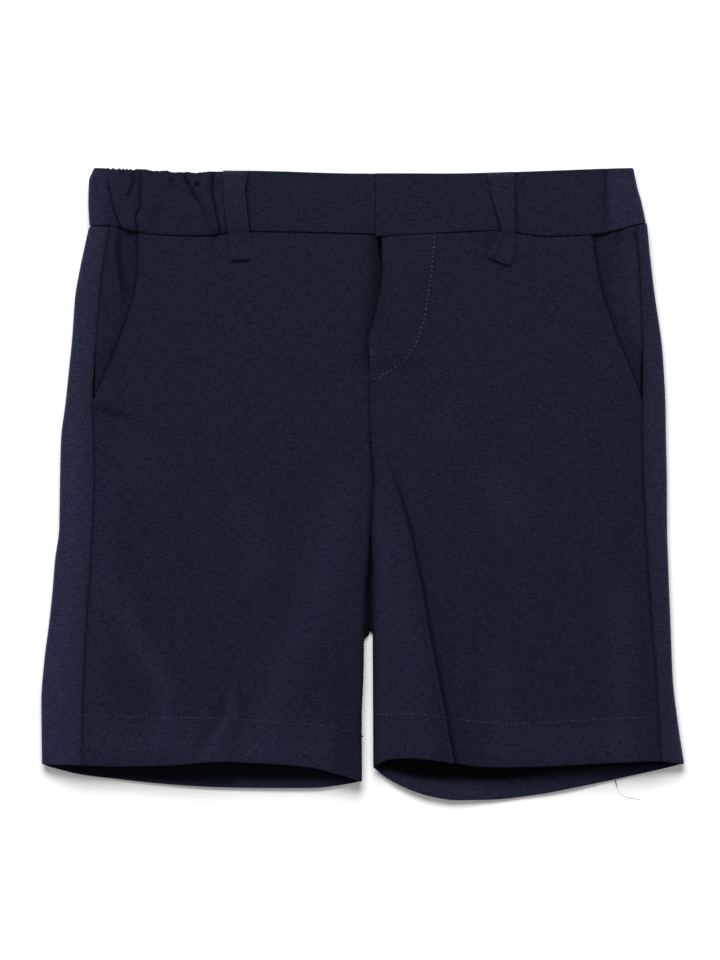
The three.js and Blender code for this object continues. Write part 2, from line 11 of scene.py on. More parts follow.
import bpy
import numpy as np
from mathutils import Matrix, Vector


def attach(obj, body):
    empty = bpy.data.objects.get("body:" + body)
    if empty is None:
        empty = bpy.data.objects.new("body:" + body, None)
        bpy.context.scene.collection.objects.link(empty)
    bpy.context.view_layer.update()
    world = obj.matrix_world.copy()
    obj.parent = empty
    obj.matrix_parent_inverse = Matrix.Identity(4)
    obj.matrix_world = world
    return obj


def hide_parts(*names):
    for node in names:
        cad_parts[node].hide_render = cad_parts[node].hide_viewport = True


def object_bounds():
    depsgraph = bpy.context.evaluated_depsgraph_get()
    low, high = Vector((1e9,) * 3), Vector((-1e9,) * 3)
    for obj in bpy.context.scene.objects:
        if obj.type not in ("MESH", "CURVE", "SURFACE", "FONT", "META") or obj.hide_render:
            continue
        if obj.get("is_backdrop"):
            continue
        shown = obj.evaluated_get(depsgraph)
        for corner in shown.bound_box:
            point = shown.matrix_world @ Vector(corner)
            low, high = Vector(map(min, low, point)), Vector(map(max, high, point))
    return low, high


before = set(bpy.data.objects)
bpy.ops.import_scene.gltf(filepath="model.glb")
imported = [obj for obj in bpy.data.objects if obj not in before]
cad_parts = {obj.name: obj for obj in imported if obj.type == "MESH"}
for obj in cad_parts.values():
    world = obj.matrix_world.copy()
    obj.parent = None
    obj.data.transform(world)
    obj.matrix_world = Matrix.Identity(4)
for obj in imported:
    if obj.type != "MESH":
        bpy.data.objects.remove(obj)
cad_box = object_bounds()

MM = 0.001

# Cloth
SHELL = 0.5  # one layer of suiting
EDGE_ROUND = 0.5  # radius of a pressed edge at a seam
HEM_ROUND = 0.65  # the hem's fold holds two layers
HEM_TURN_UP = 24
FREE_EDGE_RUN = 5  # how far a pocket mouth or fly is turned in
SEAM_GAP = 0.12
UNDER_BAND = 3  # seam allowance that runs up inside the waistband

# The form that the solids have
CLOTH_WALL = 1.2
HEM_WALL = 2.0
LAYER_STEP = 1.6
MOUTH_DEPTH = 2.4  # how far the cloth inside a pocket's mouth lies under the front
WAIST_Y = 124
HEM_Y = -140
HEM_TOP_Y = -118
HEM_EASE_Y = -45
WAIST_EASE_Y = 84
FOLD_HEIGHT = 7.5
FOLD_REACH = 3.8
FOLD_START = 0.34  # angle at which the outer fold takes over from the dome
ROLL_RADIUS = 5
BACK_ROLL_RADIUS = 3.5
DOME_REACH = 21
LEG_DOME_REACH = 28
CENTRE_BACK_X = 3.8
CROTCH_Y = -72.4
LEG_TOP_Y = CROTCH_Y - 2
LEG_TUBE_Y = -90
LOOP_LIFT = 1.5
BACK_LOOP_END_Y = 110
BACK_LOOP_X = {"right": -78, "centre": 4, "left": 86}
BAND_PROUD = 0.8
BAND_THICK = 2.0
BAND_LAP = 1.5
FLY_RAISE = 1.9
FLY_OPEN_Y, FLY_SHUT_Y = 64, 55


def smooth(low, high, value):
    """0 at low, 1 at high and eased between them; low may be the greater"""
    t = np.clip((np.asarray(value, float) - low) / (high - low), 0, 1)
    return t * t * (3 - 2 * t)


def mix(a, b, t):
    return a + (b - a) * t


def bump(q):
    return np.where(np.abs(q) < 1, (1 + np.cos(np.pi * q)) / 2, 0.0)


def curve(key, value):
    """A smooth function through (key, value) that doesn't overshoot between them."""
    key, value = np.array(key, float), np.array(value, float)
    if key[0] > key[-1]:
        key, value = key[::-1], value[::-1]
    rise = np.diff(value) / np.diff(key)
    product = rise[:-1] * rise[1:]
    total = np.where(product > 0, rise[:-1] + rise[1:], 1.0)
    middle = np.where(product > 0, 2 * product / total, 0.0)
    slope = np.concatenate([rise[:1], middle, rise[-1:]])

    def at(x):
        x = np.clip(x, key[0], key[-1])
        i = np.clip(np.searchsorted(key, x, side="right") - 1, 0, len(key) - 2)
        span = key[i + 1] - key[i]
        t = (x - key[i]) / span
        bend = t * (1 - t) * span * (slope[i] * (1 - t) - slope[i + 1] * t)
        return mix(value[i], value[i + 1], t * t * (3 - 2 * t)) + bend

    return at


def table(names, rows):
    columns = list(zip(*rows))
    return {name: curve(columns[0], columns[k + 1]) for k, name in enumerate(names[1:])}


def side_of(sign, widths, pocket, pocket_end_y, hem, hem_shadow, waist, band_outline, band_seam, band_end_x):
    return SimpleNamespace(
        sign=sign,
        pocket_end_y=pocket_end_y,
        band_end_x=band_end_x,
        pocket=table(["y", "x"], pocket)["x"],
        band_outline=table(["up", "x"], band_outline)["x"],
        band_seam=table(["up", "x"], band_seam)["x"],
        waist=SimpleNamespace(**table(["x", "front", "back"], waist)),
        hem=SimpleNamespace(**table(["x", "front", "back"], hem)),
        dark=table(["x", "y"], hem_shadow)["y"],
        **table(["y", "outline", "seam", "inner", "roll"], widths),
    )


RIGHT = side_of(
    -1,
    # y, outer fold, side seam, front's inner edge, how far that edge has rolled down
    widths=[
        [124, -135.7, -125.4, 8.0, 0],
        [113, -138.4, -127.4, 8.4, 0],
        [106, -140.1, -128.6, 10.3, 0],
        [92, -142.9, -130.3, 9.8, 0],
        [80, -143.8, -131.4, 8.0, 0],
        [72, -144.4, -132.0, 6.4, 0],
        [62, -145.4, -132.8, 3.5, 0],
        [40, -147.7, -133.8, 3.4, 0],
        [22, -149.9, -133.1, 4.0, 0.04],
        [2, -150.4, -132.8, 5.6, 0.3],
        [-22, -150.8, -133.7, 4.2, 1],
        [-38, -152.9, -134.6, 3.1, 1],
        [-52, -154.0, -135.6, 1.7, 1],
        [-69, -155.8, -136.6, 1.1, 1],
        [-88, -158.2, -137.6, 0.8, 1],
        [-109, -159.7, -138.6, -0.1, 1],
        [-140, -159.4, -139.0, 0.0, 1],
    ],
    pocket=[[130, -111.0], [107, -111.1], [91, -113.8], [79.5, -117.6], [66, -122.6], [54, -127.7], [42, -133.3]],
    pocket_end_y=42,
    # x, edge of the front, edge of the back
    hem=[
        [-161, -139.4, -139.6],
        [-151, -139.6, -142.3],
        [-139, -139.8, -145.0],
        [-122, -140.3, -147.1],
        [-98, -139.8, -149.6],
        [-71, -137.8, -151.2],
        [-44, -139.0, -151.6],
        [-24, -141.0, -151.5],
        [-10, -144.8, -150.0],
        [0, -148.0, -148.2],
    ],
    # x, edge of the painted shadow that the front's hem casts inside the leg's opening
    hem_shadow=[
        [-158, -140.5],
        [-137, -144.4],
        [-109, -146.8],
        [-85, -148.4],
        [-68, -149.2],
        [-59, -146.8],
        [-34, -147.0],
        [-19, -146.0],
        [-2, -148.5],
    ],
    waist=[
        [-137, 128.6, 128.6],
        [-127, 128.5, 127.6],
        [-114, 126.0, 126.6],
        [-102, 124.0, 126.2],
        [-82, 123.4, 126.0],
        [-56, 125.5, 126.0],
        [8, 124.2, 126.0],
    ],
    # up the band from 0 to 1
    band_outline=[[0, -135.7], [0.4, -136.2], [0.8, -135.9], [1, -133.8]],
    band_seam=[[0, -111.4], [0.2, -112.4], [0.42, -109.8], [1, -109.4]],
    band_end_x=22,
)
LEFT = side_of(
    1,
    widths=[
        [124, 142.0, 136.0, 9.7, 0],
        [109, 143.6, 137.8, 10.2, 0],
        [100, 144.9, 138.4, 9.9, 0],
        [91, 146.3, 138.9, 8.0, 0],
        [80, 148.1, 139.3, 5.6, 0],
        [70, 149.4, 139.5, 3.3, 0],
        [62, 150.1, 139.6, 3.8, 0],
        [40, 151.3, 139.5, 3.7, 0],
        [22, 151.6, 139.2, 4.3, 0.04],
        [2, 152.0, 139.7, 5.9, 0.3],
        [-22, 152.1, 141.0, 4.5, 1],
        [-38, 152.6, 142.1, 5.5, 1],
        [-69, 153.8, 144.2, 5.5, 1],
        [-98, 155.0, 146.5, 5.6, 1],
        [-118, 157.3, 147.6, 5.7, 1],
        [-140, 160.6, 148.8, 5.8, 1],
    ],
    pocket=[[130, 113.8], [111, 116.2], [94, 119.6], [81, 124.1], [71, 127.5], [60, 132.2], [42, 139.4]],
    pocket_end_y=42,
    hem=[
        [5, -140.6, -141.0],
        [14, -136.8, -147.5],
        [24, -136.1, -152.4],
        [34, -136.8, -155.6],
        [47, -139.0, -157.6],
        [64, -140.7, -157.4],
        [88, -140.4, -154.8],
        [108, -139.4, -151.0],
        [128, -138.4, -146.9],
        [147, -137.7, -142.7],
        [160, -139.5, -139.6],
    ],
    hem_shadow=[
        [8, -141.0],
        [14, -142.4],
        [26, -145.5],
        [47, -147.7],
        [70, -147.0],
        [88, -144.7],
        [109, -142.4],
        [158, -139.4],
    ],
    waist=[
        [8, 122.9, 126.0],
        [32, 124.3, 126.0],
        [66, 125.8, 126.0],
        [94, 123.0, 126.2],
        [116, 124.1, 126.8],
        [134, 128.2, 128.4],
        [142, 130.2, 130.2],
    ],
    band_outline=[[0, 141.3], [0.4, 139.2], [0.7, 137.0], [1, 135.5]],
    band_seam=[[0, 120.2], [0.5, 120.4], [1, 121.4]],
    band_end_x=6.6,
)
SIDES = {"right": RIGHT, "left": LEFT}

CROWN = curve([160, 90, 0, -60, -118, -140], [12.0, 12.0, 11.6, 11.6, 12.2, 12.6])
INNER_CROWN = curve([160, 90, 0, -60, -118, -140], [12.0, 12.0, 11.4, 10.6, 10.6, 10.8])
BAND_TOP = curve([-137, -110, -82, -60, 0, 40, 70, 105, 136], [157.4, 156.4, 155, 155.7, 154.3, 154.3, 154.9, 156.1, 157.3])


# Creases: the height that they add at a point of the cloth


def along_path(path, x, y):
    """How far along a path the nearest point lies, in mm, and how far aside, positive to its left."""
    path = np.array(path, float)
    best = np.full(np.shape(x), 1e9)
    along = np.zeros(np.shape(x))
    aside = np.zeros(np.shape(x))
    done = 0.0
    for (ax, ay), (bx, by) in zip(path[:-1], path[1:]):
        dx, dy = bx - ax, by - ay
        length = math.hypot(dx, dy)
        t = np.clip(((x - ax) * dx + (y - ay) * dy) / length**2, 0, 1)
        away = np.hypot(x - ax - t * dx, y - ay - t * dy)
        left = np.sign(dx * (y - ay) - dy * (x - ax))
        nearer = away < best
        best = np.where(nearer, away, best)
        along = np.where(nearer, done + t * length, along)
        aside = np.where(nearer, away * left, aside)
        done += length
    return along, aside, done


def crease(path, depth, width, ridge=0.0, ridge_width=5.0, fade_in=8.0, fade_out=8.0, shade=None):
    """A trough along a path, with a ridge of cloth piled up beside it: on its left if ridge_width is
    positive, and otherwise on its right. shade is how dark its bottom is painted, as painted shade."""
    # painted shade: the deeper and narrower the trough, the darker its bottom is painted
    if shade is None:
        shade = min(0.85, max(0, 0.5 * depth / width))
    reach = 3.2 * max(width, abs(ridge_width) * 1.8 if ridge else 0)
    xs, ys = zip(*path)
    return SimpleNamespace(
        path=path,
        depth=depth,
        width=width,
        ridge=ridge,
        ridge_width=ridge_width,
        fade_in=fade_in,
        fade_out=fade_out,
        shade=shade,
        box=(min(xs) - reach, max(xs) + reach, min(ys) - reach, max(ys) + reach),
    )


def creases_at(creases, x, y):
    """Height that the creases add at points of the cloth."""
    total = np.zeros(np.broadcast(x, y).shape)
    x, y = np.broadcast_arrays(np.asarray(x, float), np.asarray(y, float))
    for c in creases:
        left, right, low, high = c.box
        near = (x > left) & (x < right) & (y > low) & (y < high)
        if not near.any():
            continue
        along, aside, length = along_path(c.path, x[near], y[near])
        fade = smooth(0, c.fade_in, along) * smooth(0, c.fade_out, length - along)
        rise = -c.depth * np.exp(-((aside / c.width) ** 2))
        if c.ridge:
            s = np.maximum(aside / c.ridge_width, 0)
            rise = rise + c.ridge * s * np.exp(1 - s)
        total[near] += rise * fade
    return total


def mark(path, strength, width, fade_in=8.0, fade_out=8.0):
    """A soft stripe of paint along a path, with no height: painted shade, and painted sheen in the lit marks"""
    return crease(path, 0, width, fade_in=fade_in, fade_out=fade_out, shade=strength)


def shade_at(creases, x, y):
    """How strongly the creases and marks cover points of the cloth with their paint, from 0 to 1: painted shade, and
    painted sheen for the lit marks
    """
    x, y = np.broadcast_arrays(np.asarray(x, float), np.asarray(y, float))
    clear = np.ones(x.shape)
    for c in creases:
        left, right, low, high = c.box
        near = (x > left) & (x < right) & (y > low) & (y < high)
        if not c.shade or not near.any():
            continue
        along, aside, length = along_path(c.path, x[near], y[near])
        fade = smooth(0, c.fade_in, along) * smooth(0, c.fade_out, length - along)
        clear[near] *= 1 - c.shade * np.exp(-((aside / c.width) ** 2)) * fade
    return 1 - clear


def noise(x, y, size, seed):
    """Smooth random heights from -1 to 1 with hills about size mm across."""
    cells = np.random.default_rng(seed).uniform(-1, 1, (256, 256))
    u, v = np.asarray(x, float) / size + 128, np.asarray(y, float) / size + 128
    i, j = np.floor(u).astype(int), np.floor(v).astype(int)
    s, t = smooth(0, 1, u - i), smooth(0, 1, v - j)
    pick = lambda a, b: cells[(i + a) % 256, (j + b) % 256]
    return mix(mix(pick(0, 0), pick(1, 0), s), mix(pick(0, 1), pick(1, 1), s), t)


LEG_FOLD = [
    (12, 14),
    (14.8, 7.2),
    (19.9, -8.9),
    (24.6, -25),
    (30.2, -51.8),
    (33.8, -73.2),
    (36.9, -89.3),
    (41.4, -112),
    (43.8, -125.4),
    (46.6, -140),
    (48, -150),
]
FRONT_CREASES = [
    # the long fold of the left leg, from the crotch to the hem, with the cloth piled up on its inner side
    crease(LEG_FOLD, 1.4, 1.3, ridge=1.7, ridge_width=-3.0, fade_in=26, fade_out=1, shade=0.66),
    crease(LEG_FOLD, 0.7, 6.0, ridge=1.0, ridge_width=-9, fade_in=70, fade_out=1, shade=0.16),
    crease(LEG_FOLD[4:], 0.7, 1.3, ridge=1.0, ridge_width=-2.6, fade_in=60, fade_out=1),
    # the right hem's ridge and the soft lit bands beside it
    crease([(-59, -80), (-63.4, -102.7), (-67.4, -118.7), (-76.8, -134.8), (-82, -144)], -1.4, 3.0, fade_in=40, fade_out=2),
    crease([(-66, -104), (-74, -121), (-85, -137)], 1.0, 3.0, fade_in=14, fade_out=8),
    crease([(-56, -100), (-59, -118), (-66, -140)], 0.8, 3.2, fade_in=20, fade_out=4),
    crease([(-113, -72), (-107, -85), (-98, -101), (-95, -118), (-99, -134)], -1.1, 5, fade_in=20, fade_out=16),
    crease([(-50, -98), (-45, -118), (-41, -142)], -0.5, 6, fade_in=18, fade_out=2),
    crease([(-26, -104), (-24, -122), (-19, -146)], -0.5, 5, fade_in=18, fade_out=2),
    crease([(-92, -20), (-97, -48), (-103, -70)], -0.4, 8, fade_in=18, fade_out=18),
    crease([(-36, -34), (-30, -62), (-27, -90)], -0.4, 8, fade_in=18, fade_out=18),
    # painted shade along both side seams and the seam below the fly
    mark([(135.9, 126), (137.7, 109), (138.8, 91), (139.4, 70), (139.3, 30), (140.8, -22), (144, -69)], 0.35, 0.9, 1, 1),
    mark([(144, -69), (146.4, -98), (148.7, -144)], 0.35, 0.8, 1, 1),
    mark([(-125.3, 128), (-128.6, 106), (-131.4, 80), (-133.8, 40), (-132.8, 2), (-134.6, -38)], 0.2, 0.8, 1, 1),
    mark([(-134.6, -38), (-136.6, -69), (-138.6, -109), (-139, -144)], 0.2, 0.8, 1, 1),
    mark([(3.6, 54), (3.6, 40), (4.2, 20), (5.7, 2), (4.5, -22)], 0.35, 1.2, 4, 4),
    # below the right pocket
    crease([(-136, 39), (-132.4, 37.3), (-117, 32), (-108.9, 29.3)], 0.9, 3.2, ridge=1.1, ridge_width=4, fade_in=2, fade_out=18),
    crease([(-134, 18), (-125, 8.5), (-117, 5.9)], 0.9, 2.6, fade_in=4, fade_out=10),
    crease([(-133, 62), (-124, 56), (-112, 53)], 0.35, 4, fade_in=4, fade_out=10),
    # the gathers go on for a little way below the waist seam
    crease([(-72, 126), (-74, 116), (-80, 104)], 0.5, 3.0, fade_in=1, fade_out=14),
    crease([(-84, 126), (-88, 115), (-92, 106)], 0.35, 3.0, fade_in=1, fade_out=12),
    crease([(-99, 126), (-101, 112)], 0.35, 3.0, fade_in=1, fade_out=10),
    # round the fly
    crease([(7.4, 126), (7.6, 104), (6.6, 84), (4.6, 66)], 1.5, 3.6, fade_in=1, fade_out=14),
    crease([(18, 52), (28, 40), (44, 30)], 0.35, 5, fade_in=8, fade_out=16),
    crease([(-4, 60), (-18, 50), (-34, 46)], 0.3, 5, fade_in=6, fade_out=16),
    # the left leg's outer half
    crease([(88, 6), (94, -30), (104, -66)], -0.35, 9, fade_in=20, fade_out=20),
    crease([(112, -76), (116, -104), (112, -138)], -0.45, 8, fade_in=20, fade_out=4),
    crease([(66, -86), (70, -110), (67, -138)], -0.4, 6, fade_in=18, fade_out=3),
    crease([(133, -20), (128, -34), (118, -44)], 0.35, 5, fade_in=4, fade_out=12),
]
FACING_CREASES = [
    crease([(-120.2, 130), (-121.2, 116), (-119.8, 105.8), (-118, 95.6), (-117, 84)], 1.2, 1.2, ridge=0.8, ridge_width=-4, fade_in=1, fade_out=14, shade=0.6),
    crease([(127.4, 132), (127.8, 122), (126.6, 112)], 0.7, 1.6, ridge=0.3, ridge_width=-3, fade_in=1, fade_out=8),
    crease([(131, 84), (133, 72), (135, 62)], 0.4, 1.8, fade_in=6, fade_out=6),
]
BACK_CREASES = [
    # hidden underneath: the cloth stands a little off the surface along these
    crease([(-120, 40), (-90, 10), (-60, -4), (-30, -20)], 0.9, 5, fade_in=30, fade_out=24),
    crease([(-34, 20), (-18, -20), (-10, -60)], 0.8, 4, fade_in=24, fade_out=16),
    crease([(40, 16), (24, -24), (16, -62)], 0.9, 4, fade_in=24, fade_out=14),
    crease([(118, 60), (84, 24), (60, 4)], 0.8, 5, fade_in=26, fade_out=22),
    crease([(70, -60), (76, -100), (72, -140)], 0.6, 5, fade_in=26, fade_out=14),
    crease([(-92, -50), (-84, -92), (-90, -132)], 0.6, 5, fade_in=26, fade_out=14),
]
BAND_CREASES = [
    # over the elastic, from the fold towards the first belt loop
    crease([(-127.5, 156), (-125.7, 148.6), (-123.7, 139.5), (-121.6, 132.3), (-118.0, 124)], 1.2, 0.9, ridge=1.5, ridge_width=2.6, fade_in=9, fade_out=1),
    crease([(-122.5, 134), (-119.5, 124)], 0.9, 1.6, ridge=0.6, ridge_width=3, fade_in=6, fade_out=1),
    crease([(-113, 158), (-113.2, 150), (-115, 144.5), (-118.6, 140.5)], 1.3, 1.1, ridge=0.9, ridge_width=2.4, fade_in=1, fade_out=5),
    crease([(-109.9, 158), (-109.9, 138), (-112.4, 132), (-111.2, 124)], 1.0, 0.8, ridge=1.3, ridge_width=2.6, fade_in=1, fade_out=1),
    crease([(-90.4, 158), (-87.5, 151.7), (-83.4, 143.5), (-80.4, 139.0)], 1.3, 0.9, ridge=1.3, ridge_width=2.4, fade_in=1, fade_out=6),
    crease([(-82.4, 142.5), (-78.3, 135.5), (-74.9, 124)], 0.9, 1.3, ridge=1.0, ridge_width=3.2, fade_in=5, fade_out=1),
    crease([(-73.2, 158), (-74.4, 150), (-74.4, 144), (-72.6, 134.4), (-70.2, 124)], 1.7, 0.9, ridge=1.5, ridge_width=-2.4, fade_in=1, fade_out=1),
    crease([(-93.6, 154), (-95.6, 145.1)], 0.8, 1.3, ridge=0.5, ridge_width=-2.4, fade_in=3, fade_out=4),
    crease([(-101, 140), (-103, 130), (-100, 124)], 0.6, 2.2, fade_in=4, fade_out=1),
    crease([(-88, 134), (-91, 124)], 0.6, 2.0, fade_in=4, fade_out=1),
    crease([(-82.3, 149.9), (-81.3, 148.1)], 2.0, 1.2, fade_in=0.2, fade_out=0.2),
    crease([(-84.6, 152), (-83.4, 146)], -0.5, 1.6, fade_in=2, fade_out=2),
    crease([(-130.5, 146), (-129.5, 134)], 0.5, 1.8, fade_in=5, fade_out=4),
    crease([(-105, 156), (-104.4, 149)], 0.5, 1.3, fade_in=1, fade_out=4),
    crease([(-119, 156.6), (-119.4, 151)], 0.7, 1.2, fade_in=1, fade_out=4),
    # nearly smooth elsewhere
    crease([(-30, 150), (-34, 128)], -0.35, 8, fade_in=6, fade_out=6),
    crease([(48, 150), (44, 130)], -0.35, 9, fade_in=6, fade_out=6),
    crease([(101, 152), (97, 132)], -0.4, 8, fade_in=6, fade_out=6),
    crease([(121.6, 158), (120.6, 137), (126.6, 124)], 0.8, 1.2, ridge=0.5, ridge_width=-2.4, fade_in=1, fade_out=10),
]


# Painted shade where light hardly reaches, and painted sheen where the cloth's slopes and folds catch the light
FLY_SHADE = [(9, 126), (9.6, 104), (7.2, 84), (4.6, 71), (4.2, 62), (4.4, 54)]
# painted shade beside the fly's raised edge, down the right leg's inner side and on the left leg's inner roll
FRONT_SHADE = {
    "right": [
        mark(FLY_SHADE, 0.6, 2.8, 1, 6),
        mark(FLY_SHADE, 0.3, 7, 1, 6),
        mark([(-10, -80), (-7, -110), (-8, -146)], 0.1, 8, 20, 1),
    ],
    "left": [mark([(3.8, -36), (4.2, -50), (4.3, -62), (4.4, -77)], 0.6, 1.7, 6, 2)],
}
# painted shadows on the waistband along the front belt loops' edges
LOOP_EDGE_SHADOWS = [
    mark([(-69.4, 158), (-68.4, 141), (-66.2, 124)], 0.35, 0.8, 1, 1),
    mark([(-56.2, 158), (-57.6, 146), (-56.8, 134), (-55.4, 124)], 0.6, 1.2, 1, 1),
    mark([(63.0, 158), (64.6, 142.5), (66.8, 136), (69.2, 124)], 0.55, 0.9, 1, 1),
    mark([(75.8, 158), (76.2, 138), (76.8, 124)], 0.5, 0.9, 1, 1),
]
# painted sheen: paler bands where the cloth's slopes and folds catch the light
FRONT_LIT = [
    # the inner side of the left leg's fold, and its edge
    mark([(10, 10), (15, -20), (19, -60), (23, -100), (27, -150)], 0.26, 11, 30, 1),
    mark([(9, -14), (9.5, -60), (10.5, -110), (11, -148)], 0.24, 4, 20, 6),
    mark([(66, -74), (69, -110), (67, -148)], 0.16, 5, 20, 1),
    mark([(60, -130), (140, -129)], 0.22, 10, 14, 8),
    mark([(64, 14), (71, -8), (76, -30)], 0.22, 8, 16, 20),
    mark([(40, 46), (41, 37), (38, 18)], 0.16, 8, 12, 14),
    mark([(132, 122), (135, 96), (138, 66)], 0.34, 5, 4, 14),
    # the right leg
    mark([(-136, -128), (-90, -130), (-12, -132)], 0.34, 12, 6, 6),
    mark([(-65.5, -97), (-64.5, -114.5), (-71.5, -126.5), (-78, -140)], 0.55, 2.8, 18, 1),
    mark([(-130, -34), (-121.5, -58), (-110.5, -81.5), (-98, -101.5), (-99.5, -134)], 0.36, 5.5, 24, 8),
    mark([(-6, 10), (-14.5, -21.5), (-21.5, -54.5), (-29.5, -71.5), (-38, -88), (-44.5, -104.5), (-54, -140)], 0.3, 8, 24, 4),
    mark([(-64, 0), (-51.5, -31.5), (-59.5, -56)], 0.24, 6, 18, 14),
    mark([(-118, 30), (-104, -10)], 0.2, 9, 20, 20),
    mark([(-131, 30), (-129, 0), (-131, -60), (-135, -140)], 0.24, 6, 20, 4),
    mark([(124, -40), (128, -60), (128, -140)], 0.22, 6, 20, 4),
]


def unevenness(x, y):
    """Cloth that has been worn and folded is never flat."""
    return 0.22 * noise(x, y * 0.6, 30, 1) + 0.10 * noise(x, y * 0.8, 11, 2) + 0.03 * noise(x, y, 4, 3)


def wall_at(y):
    return mix(HEM_WALL, CLOTH_WALL, smooth(HEM_TOP_Y - 1, HEM_TOP_Y + 1, y))


def lift_at(y):
    return LOOP_LIFT * smooth(BACK_LOOP_END_Y - 34, BACK_LOOP_END_Y - 2, y)


def shift_at(side, x, y, layer):
    """How far a point of the section at y moves along Y, to follow the waist seam and the hem."""
    waist = mix(side.waist.front(x), side.waist.back(x), layer) - WAIST_Y
    hem = mix(side.hem.front(x), side.hem.back(x), layer) - HEM_Y
    return waist * smooth(WAIST_EASE_Y, WAIST_Y, y) + hem * smooth(HEM_EASE_Y, HEM_TOP_Y, y)


def domed(inside):
    """How far the front has risen from the outer fold to its crown"""
    return np.sin(math.pi / 2 * np.clip((inside + 1.27) / DOME_REACH, 0, 1))


def right_hem_arch(x, y):
    return 3.6 * smooth(-40, -140, y) * bump((x + 72) / 52) * (x < 0)


def left_leg_ridge(x, y):
    """The broad swell on the inner side of the left leg's fold"""
    centre = mix(12, 27, (20 - y) / 160)
    return 3.2 * smooth(20, -140, y) * bump((x - centre) / 17) * (x > 0)


def front_height(side, x, y, extra=()):
    """Height of the front's outer face over the surface, without the fly's overlap"""
    edge = lift_at(y) + FOLD_HEIGHT
    dome = domed(np.abs(x - side.outline(y)) - FOLD_REACH)
    leg_edge = side.roll(y) * (1 - smooth(0, LEG_DOME_REACH, np.abs(x - side.inner(y))))
    crown = mix(CROWN(y), INNER_CROWN(y), leg_edge)
    world_y = y + shift_at(side, x, y, 0)
    swell = right_hem_arch(x, y) + left_leg_ridge(x, y)
    fine = creases_at([*FRONT_CREASES, *extra], x, world_y) + unevenness(x, world_y)
    return mix(edge, crown + swell, dome) + fine * smooth(-2, 9, np.abs(x - side.outline(y)) - FOLD_REACH)


def fly_raise(x, y):
    """Extra height of the left front where it overlaps the right one, and bulges open at its edge"""
    from_edge = x - LEFT.inner(y)
    bulge = 1.5 * smooth(58, 80, y) * (1 - smooth(104, 124, y)) * (1 - smooth(0, 20, from_edge))
    return FLY_RAISE * smooth(FLY_SHUT_Y, FLY_OPEN_Y, y) * (1 - smooth(14, 36, from_edge)) + bulge


def section(side, y, extra=()):
    """The outer face's section at y, as closely spaced points from the front's inner edge to the back's."""
    close = 0.25
    sign = side.sign
    lift = float(lift_at(y))
    outline = float(side.outline(y))
    inner = float(side.inner(y)) - sign * 0.12 * float(smooth(FLY_OPEN_Y, FLY_SHUT_Y, y))
    roll = float(side.roll(y))
    joined = float(smooth(LEG_TOP_Y, CROTCH_Y, y))
    back_angle = math.pi / 2 * float(smooth(LEG_TOP_Y, LEG_TUBE_Y, y))
    wall = float(wall_at(y))

    # The front's inner edge rolls over by an angle, drops straight and may run out to the centre seam.
    back_rise = BACK_ROLL_RADIUS * (1 - math.cos(back_angle)) + wall * math.cos(back_angle)
    rest = lift + back_rise + 0.3 + wall * joined
    inner_height = float(front_height(side, np.array([inner]), y, extra)[0])
    drop = (inner_height - rest) * roll
    angle = math.acos(min(1, max(0, 1 - drop / ROLL_RADIUS)))
    straight = max(0.0, drop - ROLL_RADIUS)
    foot = inner_height - ROLL_RADIUS * (1 - math.cos(angle)) - straight
    centre = (float(RIGHT.inner(y)) + float(LEFT.inner(y))) / 2
    end_x = mix(inner, centre + sign * 0.02, joined * roll)
    xs, zs, layers = [], [], []

    def add(x, z, layer):
        x, z = np.broadcast_arrays(np.asarray(x, float), np.asarray(z, float))
        xs.append(x)
        zs.append(z)
        layers.append(np.full(x.shape, layer, float) if np.isscalar(layer) else layer)

    run = abs(inner - end_x)
    if run > close:
        add(end_x + sign * np.arange(0, run - close / 2, close), foot, 0)
    if straight > close:
        add(inner, foot + np.arange(0, straight - close / 2, close), 0)
    roll_start = inner + sign * ROLL_RADIUS * math.sin(angle)
    if angle > 0.02:
        turn = np.linspace(angle, 0, 33)[:-1]
        x = roll_start - sign * ROLL_RADIUS * np.sin(turn)
        add(x, front_height(side, x, y, extra) - ROLL_RADIUS * (1 - np.cos(turn)), 0)
    fold_start = outline - sign * FOLD_REACH
    turn = np.linspace(FOLD_START, math.pi, 49)[:-1]
    dome_end = fold_start + sign * FOLD_REACH * math.sin(FOLD_START)
    x = np.linspace(roll_start, dome_end, int(abs(dome_end - roll_start) / close) + 1)[:-1]
    add(x, front_height(side, x, y, extra), 0)
    fold_top = sum(len(part) for part in xs)
    half = (float(front_height(side, np.array([dome_end]), y, extra)[0]) - lift) / (1 + math.cos(FOLD_START))
    add(fold_start + sign * FOLD_REACH * np.sin(turn), lift + half * (1 + np.cos(turn)), smooth(FOLD_START, math.pi, turn))
    fold_bottom = sum(len(part) for part in xs)
    back_inner = mix(inner, CENTRE_BACK_X + sign * 0.02, joined)
    back_start = back_inner + sign * BACK_ROLL_RADIUS * math.sin(back_angle)
    x = np.linspace(fold_start, back_start, 300)
    clear = smooth(0, 14, np.abs(x - fold_start)) * smooth(0, 8, np.abs(x - back_start))
    add(x, lift - creases_at(BACK_CREASES, x, y) * clear, 1)
    if back_angle > 0.02:
        turn = np.linspace(0, back_angle, 25)[1:]
        x = back_start - sign * BACK_ROLL_RADIUS * np.sin(turn)
        add(x, lift + BACK_ROLL_RADIUS * (1 - np.cos(turn)), 1)
    return measured(np.concatenate(xs), np.concatenate(zs), np.concatenate(layers), sign, fold_top, fold_bottom)


